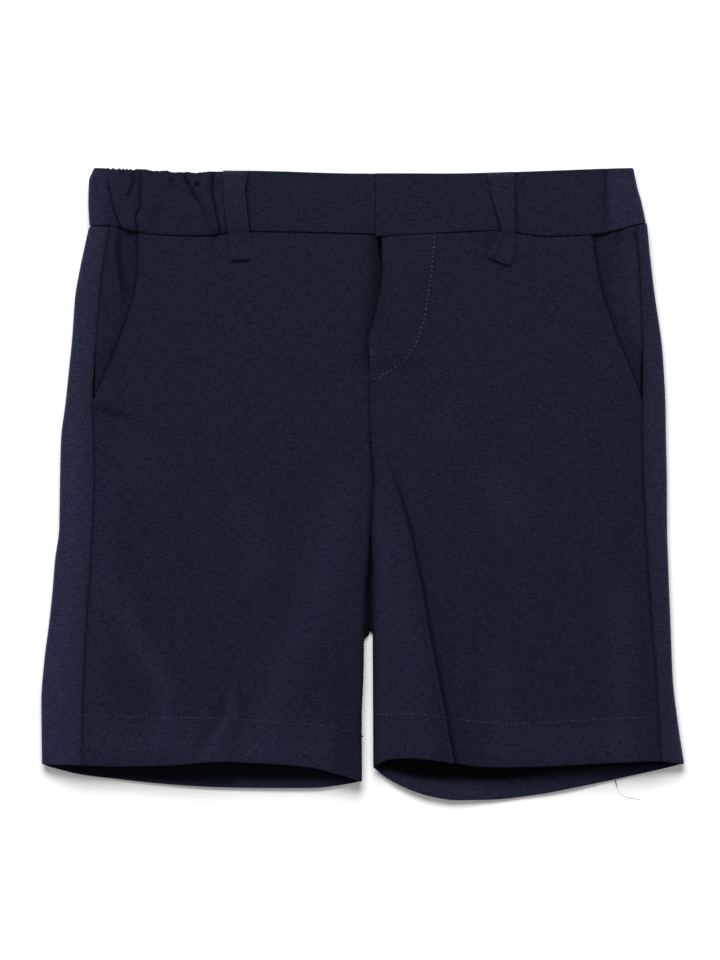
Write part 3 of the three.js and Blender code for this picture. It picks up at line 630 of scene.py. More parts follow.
def measured(x, z, layer, sign, fold_top, fold_bottom):
    """A section with its distances along and its outward normals"""
    at = np.concatenate([[0], np.cumsum(np.hypot(np.diff(x), np.diff(z)))])
    dx, dz = np.gradient(x), np.gradient(z)
    length = np.maximum(np.hypot(dx, dz), 1e-9)
    return SimpleNamespace(
        x=x,
        z=z,
        layer=layer,
        at=at,
        nx=-sign * dz / length,
        nz=sign * dx / length,
        fold_top=fold_top,
        fold_bottom=fold_bottom,
        sign=sign,
    )


def pick(shape, at):
    take = lambda values: np.interp(at, shape.at, values)
    return SimpleNamespace(
        x=take(shape.x), z=take(shape.z), layer=take(shape.layer), nx=take(shape.nx), nz=take(shape.nz)
    )


def front_distance(shape, x):
    """Where along a section its front crosses x"""
    top = slice(0, shape.fold_top + 1)
    outward = shape.sign * shape.x[top]
    first = int(np.argmax(outward >= shape.sign * x))
    first = max(1, first)
    a, b = outward[first - 1], outward[first]
    t = min(1, max(0, (shape.sign * x - a) / (b - a if b > a else 1)))
    return mix(shape.at[first - 1], shape.at[first], t)


# Grids: columns run across a panel and rows down it


def turned_start(angle, run, radius, steps=5, run_steps=3):
    """An edge that is turned in at a grid's first column, as distances from it along the cloth and depths
    under its face, from the hidden end to the face."""
    along = [radius - radius * math.sin(angle) - k * run / run_steps * math.cos(angle) for k in range(run_steps, 0, -1)]
    depth = [radius * (1 - math.cos(angle)) + k * run / run_steps * math.sin(angle) for k in range(run_steps, 0, -1)]
    for k in range(steps, 0, -1):
        t = angle * k / steps
        along.append(radius - radius * math.sin(t))
        depth.append(radius * (1 - math.cos(t)))
    return np.array(along), np.array(depth)


def columns(start, end, stops, turned_in, turned_out, radius=EDGE_ROUND):
    """Distances along a section and depths under its face. stops are inner marks with the number of
    columns up to each, and each edge is turned by an angle over a run."""
    first_along, first_depth = turned_start(*turned_in, radius)
    last_along, last_depth = turned_start(*turned_out, radius)
    low, high = start + radius, end - radius
    marks = [low, *[min(max(m, low), high) for m, _ in stops[:-1]], high]
    inside = [np.linspace(a, b, n + 1)[:-1] for a, b, (_, n) in zip(marks, marks[1:], stops)]
    inside = np.concatenate([*inside, [high]])
    at = np.concatenate([start + first_along, inside, end - last_along[::-1]])
    depth = np.concatenate([first_depth, np.zeros(len(inside)), last_depth[::-1]])
    return at, depth


def panel_rows():
    """Each row's place down the panel, its depth under the face, and 1 on the face or -1 on the turned-up
    hem. The first rows run up inside the waistband."""
    rows = [(y, 1.3, 1) for y in np.linspace(WAIST_Y + UNDER_BAND, WAIST_Y + 0.6, 3)]
    low = HEM_Y + HEM_ROUND
    face = np.linspace(WAIST_Y, low, 232)
    rows += [(y, 0.7 * float(1 - smooth(-0.4, 1.5, WAIST_Y - y)), 1) for y in face]
    for t in np.linspace(0, math.pi, 9)[1:]:
        rows.append((low - HEM_ROUND * math.sin(t), HEM_ROUND * (1 - math.cos(t)), math.cos(t)))
    rows += [(y, 2 * HEM_ROUND, -1) for y in np.linspace(low + 0.7, HEM_Y + 15, 22)]
    rows += [(y, 2 * HEM_ROUND, -1) for y in np.linspace(HEM_Y + 17, HEM_Y + HEM_TURN_UP, 4)]
    return rows


def cloth_mesh(name, points, outward, uv, painted_shade, painted_sheen_and_tone):
    """A grid of cloth whose faces look outward, with a UV map in metres that follows the yarns, and its painted shade
    and painted sheen kept on its points.
    """
    rows, count = points.shape[:2]
    k = np.arange(rows * count).reshape(rows, count)
    quads = np.stack([k[:-1, :-1], k[1:, :-1], k[1:, 1:], k[:-1, 1:]], axis=-1).reshape(-1, 4)
    across = points[:-1, 1:] - points[1:, :-1]
    down = points[1:, 1:] - points[:-1, :-1]
    facing = np.einsum("ijk,ijk->ij", np.cross(down, across), outward[:-1, :-1])
    if np.sum(facing) < 0:
        quads = quads[:, ::-1]
    mesh = bpy.data.meshes.new(name)
    mesh.from_pydata((points.reshape(-1, 3) * MM).tolist(), [], quads.tolist())
    layer = mesh.uv_layers.new(name="cloth")
    layer.data.foreach_set("uv", (uv.reshape(-1, 2)[quads.reshape(-1)] * MM).astype(np.float32).ravel())
    mesh.shade_smooth()
    paint(mesh, "painted_shade", painted_shade)
    paint(mesh, "painted_sheen_and_tone", painted_sheen_and_tone)
    piece = bpy.data.objects.new(name, mesh)
    bpy.context.scene.collection.objects.link(piece)
    return piece


def paint(mesh, name, values):
    """Keeps a value from 0 to 1 for each of a mesh's points"""
    layer = mesh.attributes.new(name, "FLOAT", "POINT")
    spread = np.broadcast_to(np.asarray(values, np.float32).ravel(), (len(mesh.vertices),))
    layer.data.foreach_set("value", np.ascontiguousarray(spread))


def thicken(piece, thickness=SHELL):
    shell = piece.modifiers.new("cloth thickness", "SOLIDIFY")
    shell.thickness = thickness * MM
    shell.offset = -1
    return piece


def sewn_panel(name, side, rows, columns_at, raise_at=None, extra=(), shade=()):
    """A panel made row by row from the sections, with its edges and hem turned. Deep in a seam, under the
    waistband, in its hollows and along the given shade marks it is painted dark, as painted shade; on the back's
    outer strip and along the lit marks it is painted paler, as painted sheen."""
    points, outward, uv, painted_shade, painted_sheen_and_tone = [], [], [], [], []
    seam_x = lambda y: float(side.seam(y))
    middle = side.sign * 75
    for y, depth, facing in rows:
        shape = section(side, y, extra)
        at, edge_depth, sunk = columns_at(shape, y)
        p = pick(shape, at)
        push = depth + (edge_depth + sunk) * facing
        raised = raise_at(p.x, y) if raise_at else 0
        place_y = y + shift_at(side, p.x, y, p.layer)
        curl = 1.2 + 0.7 * noise(p.x, 0 * p.x, 26, 14) + 1.8 * bump((p.x - 38) / 44)
        curl = curl * smooth(HEM_Y + 16, HEM_Y, y) * p.layer
        curl = curl * smooth(2, 16, np.abs(p.x - float(side.outline(y))))
        points.append(np.stack([p.x - p.nx * push, place_y, p.z - p.nz * push + raised + curl], -1))
        outward.append(np.stack([p.nx, np.zeros_like(p.nx), p.nz], -1) * facing)
        uv.append(np.stack([side.sign * (at - front_distance(shape, middle)), place_y], -1))
        # painted shade in the grooves of seams and turned edges, and under the waistband
        turned = smooth(0.03, 0.4, edge_depth)
        turned = turned * mix(1, 0.6, smooth(20, 10, np.abs(p.x - CENTRE_BACK_X)) * (-20 < y < FLY_SHUT_Y))
        deep = 1 - (1 - turned) * (1 - 0.3 * smooth(0.3, 1, depth) * (y > 0))
        dark = 1 - (1 - shade_at([*FRONT_CREASES, *extra, *shade], p.x, place_y)) * (1 - 0.85 * deep)
        # painted shade inside the turned-up hem
        if facing < 0:
            dark = 0 * dark + 0.5
        # painted shade in the fly's slot, on the left leg's inner roll and in the crotch between the legs
        slot = float(side.roll(y)) * smooth(0.1, 0.9, side.sign * (float(side.inner(y)) - p.x))
        dark = 1 - (1 - dark) * (1 - 0.93 * slot)
        inner_roll = float(side.roll(y)) * (1 - smooth(2, 8, np.abs(p.x - float(side.inner(y)))))
        dark = 1 - (1 - dark) * (1 - 0.8 * inner_roll * (1 - smooth(0.3, 0.9, p.nz)))
        crotch = 0.93 * smooth(-84, -74, y) * (1 - smooth(6, 16, np.abs(p.x - CENTRE_BACK_X)))
        below = 1 - (1 - 0.85 * deep) * (1 - crotch)
        # painted shadow that the front's hem casts on the back's inside
        if facing < 0.5:
            below = (0.5 if side is RIGHT else 0.88) * smooth(-0.8, 0.8, place_y - side.dark(p.x))
        painted_shade.append(mix(dark, below, smooth(0.3, 0.6, p.layer)))
        # painted sheen on the back's outer strip beside the side seam, paler on the right, and along the lit marks; a
        # painted highlight on the back hem's lit edge inside the opening
        outward_of_seam = side.sign * (p.x - seam_x(y))
        strip = smooth(0, 2, outward_of_seam) * mix(0.5, 1, smooth(0, 13, outward_of_seam)) * (0.95 if side is RIGHT else 0.75)
        hem_edge = 0.5 * smooth(-0.5, -2.5, place_y - side.dark(p.x)) if facing < 0.5 else 0.0
        lit = np.maximum(strip, shade_at(FRONT_LIT, p.x, place_y))
        painted_sheen_and_tone.append(mix(lit, hem_edge, smooth(0.3, 0.6, p.layer)))
    points, outward, uv = np.array(points), np.array(outward), np.array(uv)
    steps = np.linalg.norm(np.diff(points, axis=0), axis=2)
    uv[1:, :, 1] = uv[:1, :, 1] - np.cumsum(steps, axis=0)
    return thicken(cloth_mesh(name, points, outward, uv, np.array(painted_shade), np.array(painted_sheen_and_tone)))


SEAM_TURN = (math.pi / 2, 0.12)


def side_gap(y):
    """The gap between the cloth of a side seam's two edges: next to nothing at the hem, where a low view
    would look along it."""
    return SEAM_GAP * mix(0.12, 1, float(smooth(HEM_Y + 12, HEM_Y + 24, y)))


LEG_FOLD_X = curve([124, *[y for _, y in LEG_FOLD]], [13, *[x for x, _ in LEG_FOLD]])


def front_edge_x(side, y):
    return float(side.pocket(y)) if y > side.pocket_end_y else float(side.seam(y))


def eased_turn(share):
    """Between an edge that meets its neighbour in a seam and one that lies free"""
    return mix(math.pi / 2, math.pi, share), mix(0.12, FREE_EDGE_RUN, share)


def front_columns(side):
    def at(shape, y):
        end = front_distance(shape, front_edge_x(side, y)) - side_gap(y) / 2
        fly = eased_turn(float(smooth(FLY_SHUT_Y, FLY_OPEN_Y, y)))
        mouth = eased_turn(float(smooth(side.pocket_end_y - 1, side.pocket_end_y + 8, y)))
        if side is RIGHT:
            return *columns(0, end, [(18, 26), (None, 114)], fly, mouth), 0
        fold = front_distance(shape, float(LEG_FOLD_X(y)))
        return *columns(0, end, [(fold - 5, 30), (fold + 4, 26), (None, 90)], fly, mouth), 0

    return at


def make_front(place):
    side = SIDES[place]
    raise_at = fly_raise if side is LEFT else None
    return sewn_panel(
        f"{place}_front_cloth", side, panel_rows(), front_columns(side), raise_at, shade=FRONT_SHADE[place]
    )


def make_back(place):
    side = SIDES[place]

    def at(shape, y):
        start = front_distance(shape, float(side.seam(y))) + side_gap(y) / 2
        top, bottom = shape.at[shape.fold_top], shape.at[shape.fold_bottom]
        stops = [(top, 14), (bottom, 18), (shape.at[-1] - 9, 40), (None, 12)]
        return *columns(start, shape.at[-1], stops, SEAM_TURN, SEAM_TURN), 0

    return sewn_panel(f"{place}_back_cloth", side, panel_rows(), at)


def make_facing(place):
    """The cloth behind a slant pocket's mouth: it comes up level at the side seam."""
    side = SIDES[place]
    underlap, tail = 12, 7
    rows = [row for row in panel_rows() if row[0] > side.pocket_end_y - tail and row[2] == 1]

    def at(shape, y):
        mouth = front_distance(shape, front_edge_x(side, y))
        seam = front_distance(shape, float(side.seam(y))) - SEAM_GAP / 2
        end = max(seam, mouth + 0.5)
        at, depth = columns(mouth - underlap, end, [(mouth, 12), (None, 26)], (0, 0.3), SEAM_TURN)
        width = max(seam - mouth, 1)
        share = (at - mouth) / width
        sunk = MOUTH_DEPTH * (1 - smooth(0.05, 0.9, share) * smooth(4, 12, width))
        return at, depth, sunk

    mouth = [(float(side.pocket(y)) + side.sign * 0.6, y) for y in np.linspace(126, side.pocket_end_y, 12)]
    # painted shade on the pocket's cloth beside the mouth's edge
    shade = [mark(mouth, 0.55, 1.3, 1, 4), mark(mouth, 0.15, 4, 1, 4)]
    return sewn_panel(f"{place}_pocket_facing_cloth", side, rows, at, extra=tuple(FACING_CREASES), shade=shade)


def plane_sheet(name, rows, normal_z=1):
    """A sheet from rows of (x, y, z) points, painted almost wholly dark as painted shade"""
    points = np.array(rows, float)
    outward = np.zeros_like(points)
    outward[..., 2] = normal_z
    return thicken(cloth_mesh(name, points, outward, points[..., :2].copy(), [0.93], [0.0]))


def make_underlap():
    """The strip behind the fly's opening hangs lower where the slot shows it."""
    left = curve([124, 84, 72, 64, 57], [-4, -4, -3, -1, 1])
    right = curve([124, 100, 84, 72, 64, 57], [30, 30, 28, 22, 14, 8])
    rows = []
    for y in np.linspace(123.5, 57, 68):
        x = np.linspace(float(left(y)), float(right(y)), 34)
        sag = 2.2 * smooth(84, 112, y) * bump((x - 9) / 16)
        z = CROWN(y) - LAYER_STEP - sag + 0.15 * noise(x, y, 9, 5)
        rows.append(np.stack([x, np.full_like(x, y), z], -1))
    return plane_sheet("fly_underlap_cloth", rows)


# Waistband


def band_height(side, x, up):
    """Height of the waistband's front over the surface. The right band dips where the left one laps it."""
    from_fold = np.abs(x - side.band_outline(up)) - FOLD_REACH
    edge = LOOP_LIFT + FOLD_HEIGHT + BAND_PROUD
    if side is LEFT:
        lap = BAND_LAP * (1 - smooth(17, 34, x - side.band_end_x))
    else:
        lap = -(BAND_THICK + 0.3 - BAND_LAP) * smooth(LEFT.band_end_x - 6, LEFT.band_end_x - 2, x)
    crown = float(CROWN(WAIST_Y)) + BAND_PROUD + lap
    y = mix(side.waist.front(x), BAND_TOP(x), up)
    puffed = 0.35 * np.sin(np.pi * np.clip(up, 0, 1)) ** 0.7
    fine = creases_at(BAND_CREASES, x, y) + 0.6 * unevenness(x + 40, y) + puffed
    return mix(edge, crown, domed(from_fold)) + fine * smooth(-2, 6, from_fold)


def band_section(side, up):
    sign = side.sign
    fold_start = float(side.band_outline(up)) - sign * FOLD_REACH
    dome_end = fold_start + sign * FOLD_REACH * math.sin(FOLD_START)
    x = np.linspace(side.band_end_x, dome_end, int(abs(dome_end - side.band_end_x) / 0.25))[:-1]
    z = band_height(side, x, up)
    turn = np.linspace(FOLD_START, math.pi, 49)
    half = (float(band_height(side, np.array([dome_end]), up)[0]) - LOOP_LIFT) / (1 + math.cos(FOLD_START))
    fold_x = fold_start + sign * FOLD_REACH * np.sin(turn)
    fold_z = LOOP_LIFT + half * (1 + np.cos(turn))
    under_x = np.linspace(fold_start, CENTRE_BACK_X, 300)[1:]
    xs = np.concatenate([x, fold_x, under_x])
    zs = np.concatenate([z, fold_z, np.full(len(under_x), LOOP_LIFT)])
    layer = np.concatenate([np.zeros(len(x)), smooth(0, math.pi, turn), np.ones(len(under_x))])
    return measured(xs, zs, layer, sign, len(x), len(x) + len(turn) - 1)


def band_rows():
    """Rows from the turned lower edge up the face, over the top fold and down inside: the distance in from
    the lower or top edge, the depth under the face, and which way the cloth faces."""
    low, top = 0.6, BAND_THICK / 2
    rows = [("low", low - low * math.sin(t), low * (1 - math.cos(t)), 1) for t in np.linspace(math.pi / 2, 0, 6)[:-1]]
    rows += [("share", s, 0, 1) for s in np.linspace(0, 1, 30)]
    rows += [("top", top - top * math.sin(t), top * (1 - math.cos(t)), math.cos(t)) for t in np.linspace(0, math.pi, 11)[1:]]
    rows += [("inside", s, BAND_THICK, -1) for s in np.linspace(0.06, 1, 14)]
    return rows, low, top


def elastic_crimp(x):
    """Small scallops along the top edge over the elastic"""
    here = smooth(-129, -124, x) * (1 - smooth(-111, -107, x))
    beside = smooth(-108, -104, x) * (1 - smooth(-76, -66, x))
    fine = np.abs(np.sin(np.pi * x / 2.4 + 1.3 * noise(x, 0 * x, 5, 8)))
    return here * (0.95 * fine - 0.85) + beside * (0.4 * noise(x, 0 * x, 3.6, 9) + 0.25 * fine - 0.45)


def band_grid(side, columns_at):
    """Points, outward directions and yarn coordinates for the part of the band that columns_at picks"""
    rows, low, top = band_rows()
    points, outward, uv, painted_shade, painted_sheen_and_tone = [], [], [], [], []
    for kind, value, depth, facing in rows:
        nominal = {"low": 0, "share": value, "top": 1, "inside": 1 - value}[kind]
        shape = band_section(side, nominal)
        at, edge_depth = columns_at(shape, nominal)
        p = pick(shape, at)
        seam_y = mix(side.waist.front(p.x), side.waist.back(p.x), p.layer) + 0.1
        top_y = BAND_TOP(p.x) + elastic_crimp(p.x) * (1 - p.layer)
        place_y = {
            "low": seam_y + value,
            "share": mix(seam_y + low, top_y - top, value),
            "top": top_y - value,
            "inside": mix(top_y - top, seam_y, value),
        }[kind]
        push = depth + edge_depth * facing
        points.append(np.stack([p.x - p.nx * push, place_y, p.z - p.nz * push], -1))
        outward.append(np.stack([p.nx, np.zeros_like(p.nx), p.nz], -1) * facing)
        uv.append(np.stack([side.sign * at, place_y], -1))
        # painted shade in the band's creases, along the belt loops' edges and at the seam's turned edge
        deep = smooth(0.03, 0.4, edge_depth) * (0 if kind == "inside" else 1)
        front = 1 - smooth(0.3, 0.6, p.layer)
        dark = 1 - (1 - shade_at([*BAND_CREASES, *LOOP_EDGE_SHADOWS], p.x, place_y) * front) * (1 - 0.8 * deep)
        painted_shade.append(dark if facing > 0 else 0 * dark)
        # painted sheen on the band's outer folds; the faint random part is the cloth's own uneven tone
        strip = smooth(122, 128, np.abs(p.x + 2.5)) * 0.6
        painted_sheen_and_tone.append(np.maximum(strip, 0.03 + 0.1 * noise(p.x, place_y, 14, 31)) * front)
    points, outward, uv = np.array(points), np.array(outward), np.array(uv)
    steps = np.linalg.norm(np.diff(points, axis=0), axis=2)
    uv[1:, :, 1] = uv[:1, :, 1] + np.cumsum(steps, axis=0)
    return points, outward, uv, np.array(painted_shade), np.array(painted_sheen_and_tone)


def make_front_band(place):
    side = SIDES[place]
    half = BAND_THICK / 2

    def at(shape, up):
        end = front_distance(shape, float(side.band_seam(up))) - SEAM_GAP / 2
        count = int(abs(side.band_seam(0.5) - side.band_end_x) / (0.5 if side is RIGHT else 0.8))
        start_along, start_depth = turned_start(math.pi / 2, 0, half - 0.01)
        end_along, end_depth = turned_start(*SEAM_TURN, EDGE_ROUND)
        inside = np.linspace(half, end - EDGE_ROUND, count)
        at = np.concatenate([start_along, inside, end - end_along[::-1]])
        return at, np.concatenate([start_depth, np.zeros(count), end_depth[::-1]])

    return thicken(cloth_mesh(f"{place}_front_band_cloth", *band_grid(side, at)), SHELL)


def make_back_band():
    """The back of the waistband comes round both outer folds to the seams on the front."""

    def half(side):
        def at(shape, up):
            start = front_distance(shape, float(side.band_seam(up))) + SEAM_GAP / 2
            top, bottom = shape.at[shape.fold_top], shape.at[shape.fold_bottom]
            stops = [(top, 44), (bottom, 16), (None, 40)]
            at, depth = columns(start, shape.at[-1] + EDGE_ROUND, stops, SEAM_TURN, (0, 0))
            keep = at <= shape.at[-1] + 1e-6
            keep[np.cumsum(keep) > len(at) - 8] = False
            return at[: len(at) - 8], depth[: len(at) - 8]

        return band_grid(side, at)

    right, left = half(RIGHT), half(LEFT)
    joined = [np.concatenate([a, b[:, ::-1]], axis=1) for a, b in zip(right, left)]
    width = joined[2][..., 0]
    joins = right[0].shape[1]
    width[:, :joins] -= width[:, joins - 1 : joins]
    width[:, joins:] -= width[:, joins : joins + 1] - 1
    return thicken(cloth_mesh("back_band_cloth", *joined), SHELL)


# Belt loops: each is a strip of folded cloth with round edges


def strip_mesh(name, centres, widths, thicknesses, tilts, across_points=9, painted_shade=0.0):
    """A closed strip along a line of centres. Its section is a flat round-edged band, and each row of it
    may be tilted about the strip's length."""
    ring = []
    for k in range(across_points):
        ring.append((mix(-1, 1, k / (across_points - 1)), 1))
    for k in range(1, 6):
        t = math.pi * k / 6
        ring.append((1 + 0.5 * math.sin(t) * 0.2, math.cos(t)))
    for k in range(across_points):
        ring.append((mix(1, -1, k / (across_points - 1)), -1))
    for k in range(1, 6):
        t = math.pi * k / 6
        ring.append((-1 - 0.5 * math.sin(t) * 0.2, -math.cos(t)))
    ring = np.array(ring)
    centres = np.array(centres, float)
    tangent = np.gradient(centres, axis=0)
    tangent /= np.linalg.norm(tangent, axis=1)[:, None]
    points = []
    for c, t, width, thick, tilt in zip(centres, tangent, widths, thicknesses, tilts):
        side_way = np.array([math.cos(tilt), 0, math.sin(tilt)])
        side_way -= t * np.dot(side_way, t)
        side_way /= np.linalg.norm(side_way)
        up = np.cross(side_way, t)
        points.append(c + np.outer(ring[:, 0] * width / 2, side_way) + np.outer(ring[:, 1] * thick / 2, up))
    points = np.array(points)
    rows, count = points.shape[:2]
    k = np.arange(rows * count).reshape(rows, count)
    following = np.roll(k, -1, axis=1)
    quads = np.stack([k[:-1], k[1:], following[1:], following[:-1]], axis=-1).reshape(-1, 4).tolist()
    faces = quads + [k[0].tolist(), k[-1][::-1].tolist()]
    length = np.concatenate([[0], np.cumsum(np.linalg.norm(np.diff(centres, axis=0), axis=1))])
    uv = np.stack([np.tile(ring[:, 0] * 5, (rows, 1)), np.tile(length[:, None], (1, count))], -1).reshape(-1, 2)
    mesh = bpy.data.meshes.new(name)
    mesh.from_pydata((points.reshape(-1, 3) * MM).tolist(), [], faces)
    layer = mesh.uv_layers.new(name="cloth")
    flat = [v for face in faces for v in face]
    layer.data.foreach_set("uv", (uv[flat] * MM).astype(np.float32).ravel())
    mesh.shade_smooth()
    piece = bpy.data.objects.new(name, mesh)
    bpy.context.scene.collection.objects.link(piece)
    bpy.ops.object.select_all(action="DESELECT")
    bpy.context.view_layer.objects.active = piece
    piece.select_set(True)
    bpy.ops.object.mode_set(mode="EDIT")
    bpy.ops.mesh.select_all(action="SELECT")
    bpy.ops.mesh.normals_make_consistent(inside=False)
    bpy.ops.object.mode_set(mode="OBJECT")
    # painted shade as given, and a faint painted sheen on the belt loops
    paint(mesh, "painted_shade", [painted_shade])
    paint(mesh, "painted_sheen_and_tone", [0.16])
    return piece


def under_loop(side, x, y):
    """Height of what lies under a front belt loop: the waistband, or below the seam the front"""
    seam = side.waist.front(x)
    up = np.clip((y - seam) / (BAND_TOP(x) - seam), 0, 1)
    panel = front_height(side, x, y) + (fly_raise(x, y) if side is LEFT else 0)
    return mix(panel, band_height(side, x, up), smooth(-1, 1, y - seam))


LOOP_THICK = 1.3


def make_front_loop(name, side, rows, end_y):
    """rows: share of the way down, centre x, half width, stand-off, tilt in degrees"""
    shape = table(["t", "x", "half", "off", "tilt"], rows)
    top_y = float(BAND_TOP(rows[0][1])) - 0.5
    share = np.linspace(0, 1, 64)
    x = shape["x"](share)
    half = shape["half"](share) - 0.6 * smooth(0.97, 1, share)
    y = mix(top_y, end_y, share)
    below = np.max([under_loop(side, x + half * k, y) for k in (-0.7, 0, 0.7)], axis=0)
    z = below + LOOP_THICK / 2 + 0.15 + shape["off"](share)
    over_edge = 2.4 * (1 - smooth(0, 0.035, share))
    z = np.convolve(np.pad(z, 2, mode="edge"), np.ones(5) / 5, mode="valid") - over_edge
    thick = LOOP_THICK * (1 + 0.35 * smooth(0.86, 0.9, share)) * mix(0.7, 1, smooth(0, 0.03, 1 - share))
    tilt = np.radians(shape["tilt"](share))
    return strip_mesh(name, np.stack([x, y, z], -1), 2 * half, thick, tilt)


def make_back_loop(place):
    x = BACK_LOOP_X[place]
    top = float(BAND_TOP(x))
    y = np.linspace(top, BACK_LOOP_END_Y, 40)
    centres = np.stack([np.full(40, x), y, np.full(40, LOOP_THICK / 2 - 0.05)], -1)
    wave = 0.25 * noise(y, 0 * y, 9, 11)
    return strip_mesh(f"{place}_back_belt_loop_cloth", centres, 10.4 + wave, np.full(40, 1.2), np.zeros(40))


def make_right_loop():
    rows = [
        [0, -62.8, 5.7, 0.3, 0],
        [0.12, -63.0, 5.0, 1.0, 2],
        [0.2, -63.2, 4.6, 1.8, 3],
        [0.42, -62.6, 4.9, 2.3, 2],
        [0.65, -61.3, 4.6, 1.4, 0],
        [0.85, -60.4, 4.5, 0.3, 0],
        [1, -60.2, 4.4, 0.1, 0],
    ]
    return make_front_loop("right_front_belt_loop_cloth", RIGHT, rows, 111.2)


def make_left_loop():
    """It lies askew: it narrows to a twist just below the waist seam and its end flares out again."""
    rows = [
        [0, 68.9, 6.0, 0.3, 0],
        [0.27, 70.3, 4.9, 1.0, -4],
        [0.45, 71.6, 4.0, 1.6, -9],
        [0.62, 72.8, 3.1, 1.4, -16],
        [0.74, 72.2, 3.8, 0.9, -10],
        [0.9, 69.6, 5.2, 0.2, -3],
        [1, 67.9, 5.7, 0.1, 0],
    ]
    main = make_front_loop("left_front_belt_loop_cloth", LEFT, rows, 110.4)
    share = np.linspace(0, 1, 14)
    x = mix(64.9, 64.7, share)
    y = mix(125.2, 113.4, share)
    z = under_loop(LEFT, x, y) + 0.75
    # the tail under the loop is painted in shade
    tail = strip_mesh("loop_tail", np.stack([x, y, z], -1), mix(8.6, 4.4, share), np.full(14, 0.9), np.zeros(14), painted_shade=0.4)
    bpy.ops.object.select_all(action="DESELECT")
    tail.select_set(True)
    main.select_set(True)
    bpy.context.view_layer.objects.active = main
    bpy.ops.object.join()
    return main


# Materials


def linear(hex_colour):
    """An sRGB hex value as linear colour"""
    channels = [int(hex_colour[k : k + 2], 16) / 255 for k in (0, 2, 4)]
    return [c / 12.92 if c <= 0.04045 else ((c + 0.055) / 1.055) ** 2.4 for c in channels] + [1]


def add_node(tree, kind, settings=None, links=None):
    """A node with its settings, by property or by input, and its inputs' links"""
    node = tree.nodes.new(kind)
    for key, value in (settings or {}).items():
        if key in node.inputs.keys() and not hasattr(type(node), key):
            node.inputs[key].default_value = value
        else:
            setattr(node, key, value)
    for key, source in (links or {}).items():
        tree.links.new(source, node.inputs[key])
    return node


def new_material(name):
    material = bpy.data.materials.new(name)
    material.use_nodes = True
    material.node_tree.nodes.clear()
    return material, material.node_tree


YARN = 0.00046  # from one yarn to the next
SLUB_LENGTH = 0.0042  # a thicker stretch of weft
SHADE_PATCH = 0.017  # cloth dyed a little unevenly


PATCH_TINT = (1.03, 0.87, 1.12)
# how much paler the painted sheen and how much darker the painted shade make the cloth
PAINTED_SHEEN_TINT = (2.1, 1.95, 2.05)
PAINTED_SHADE_TINT = (0.19, 0.21, 0.2)
SHEEN = 0.25


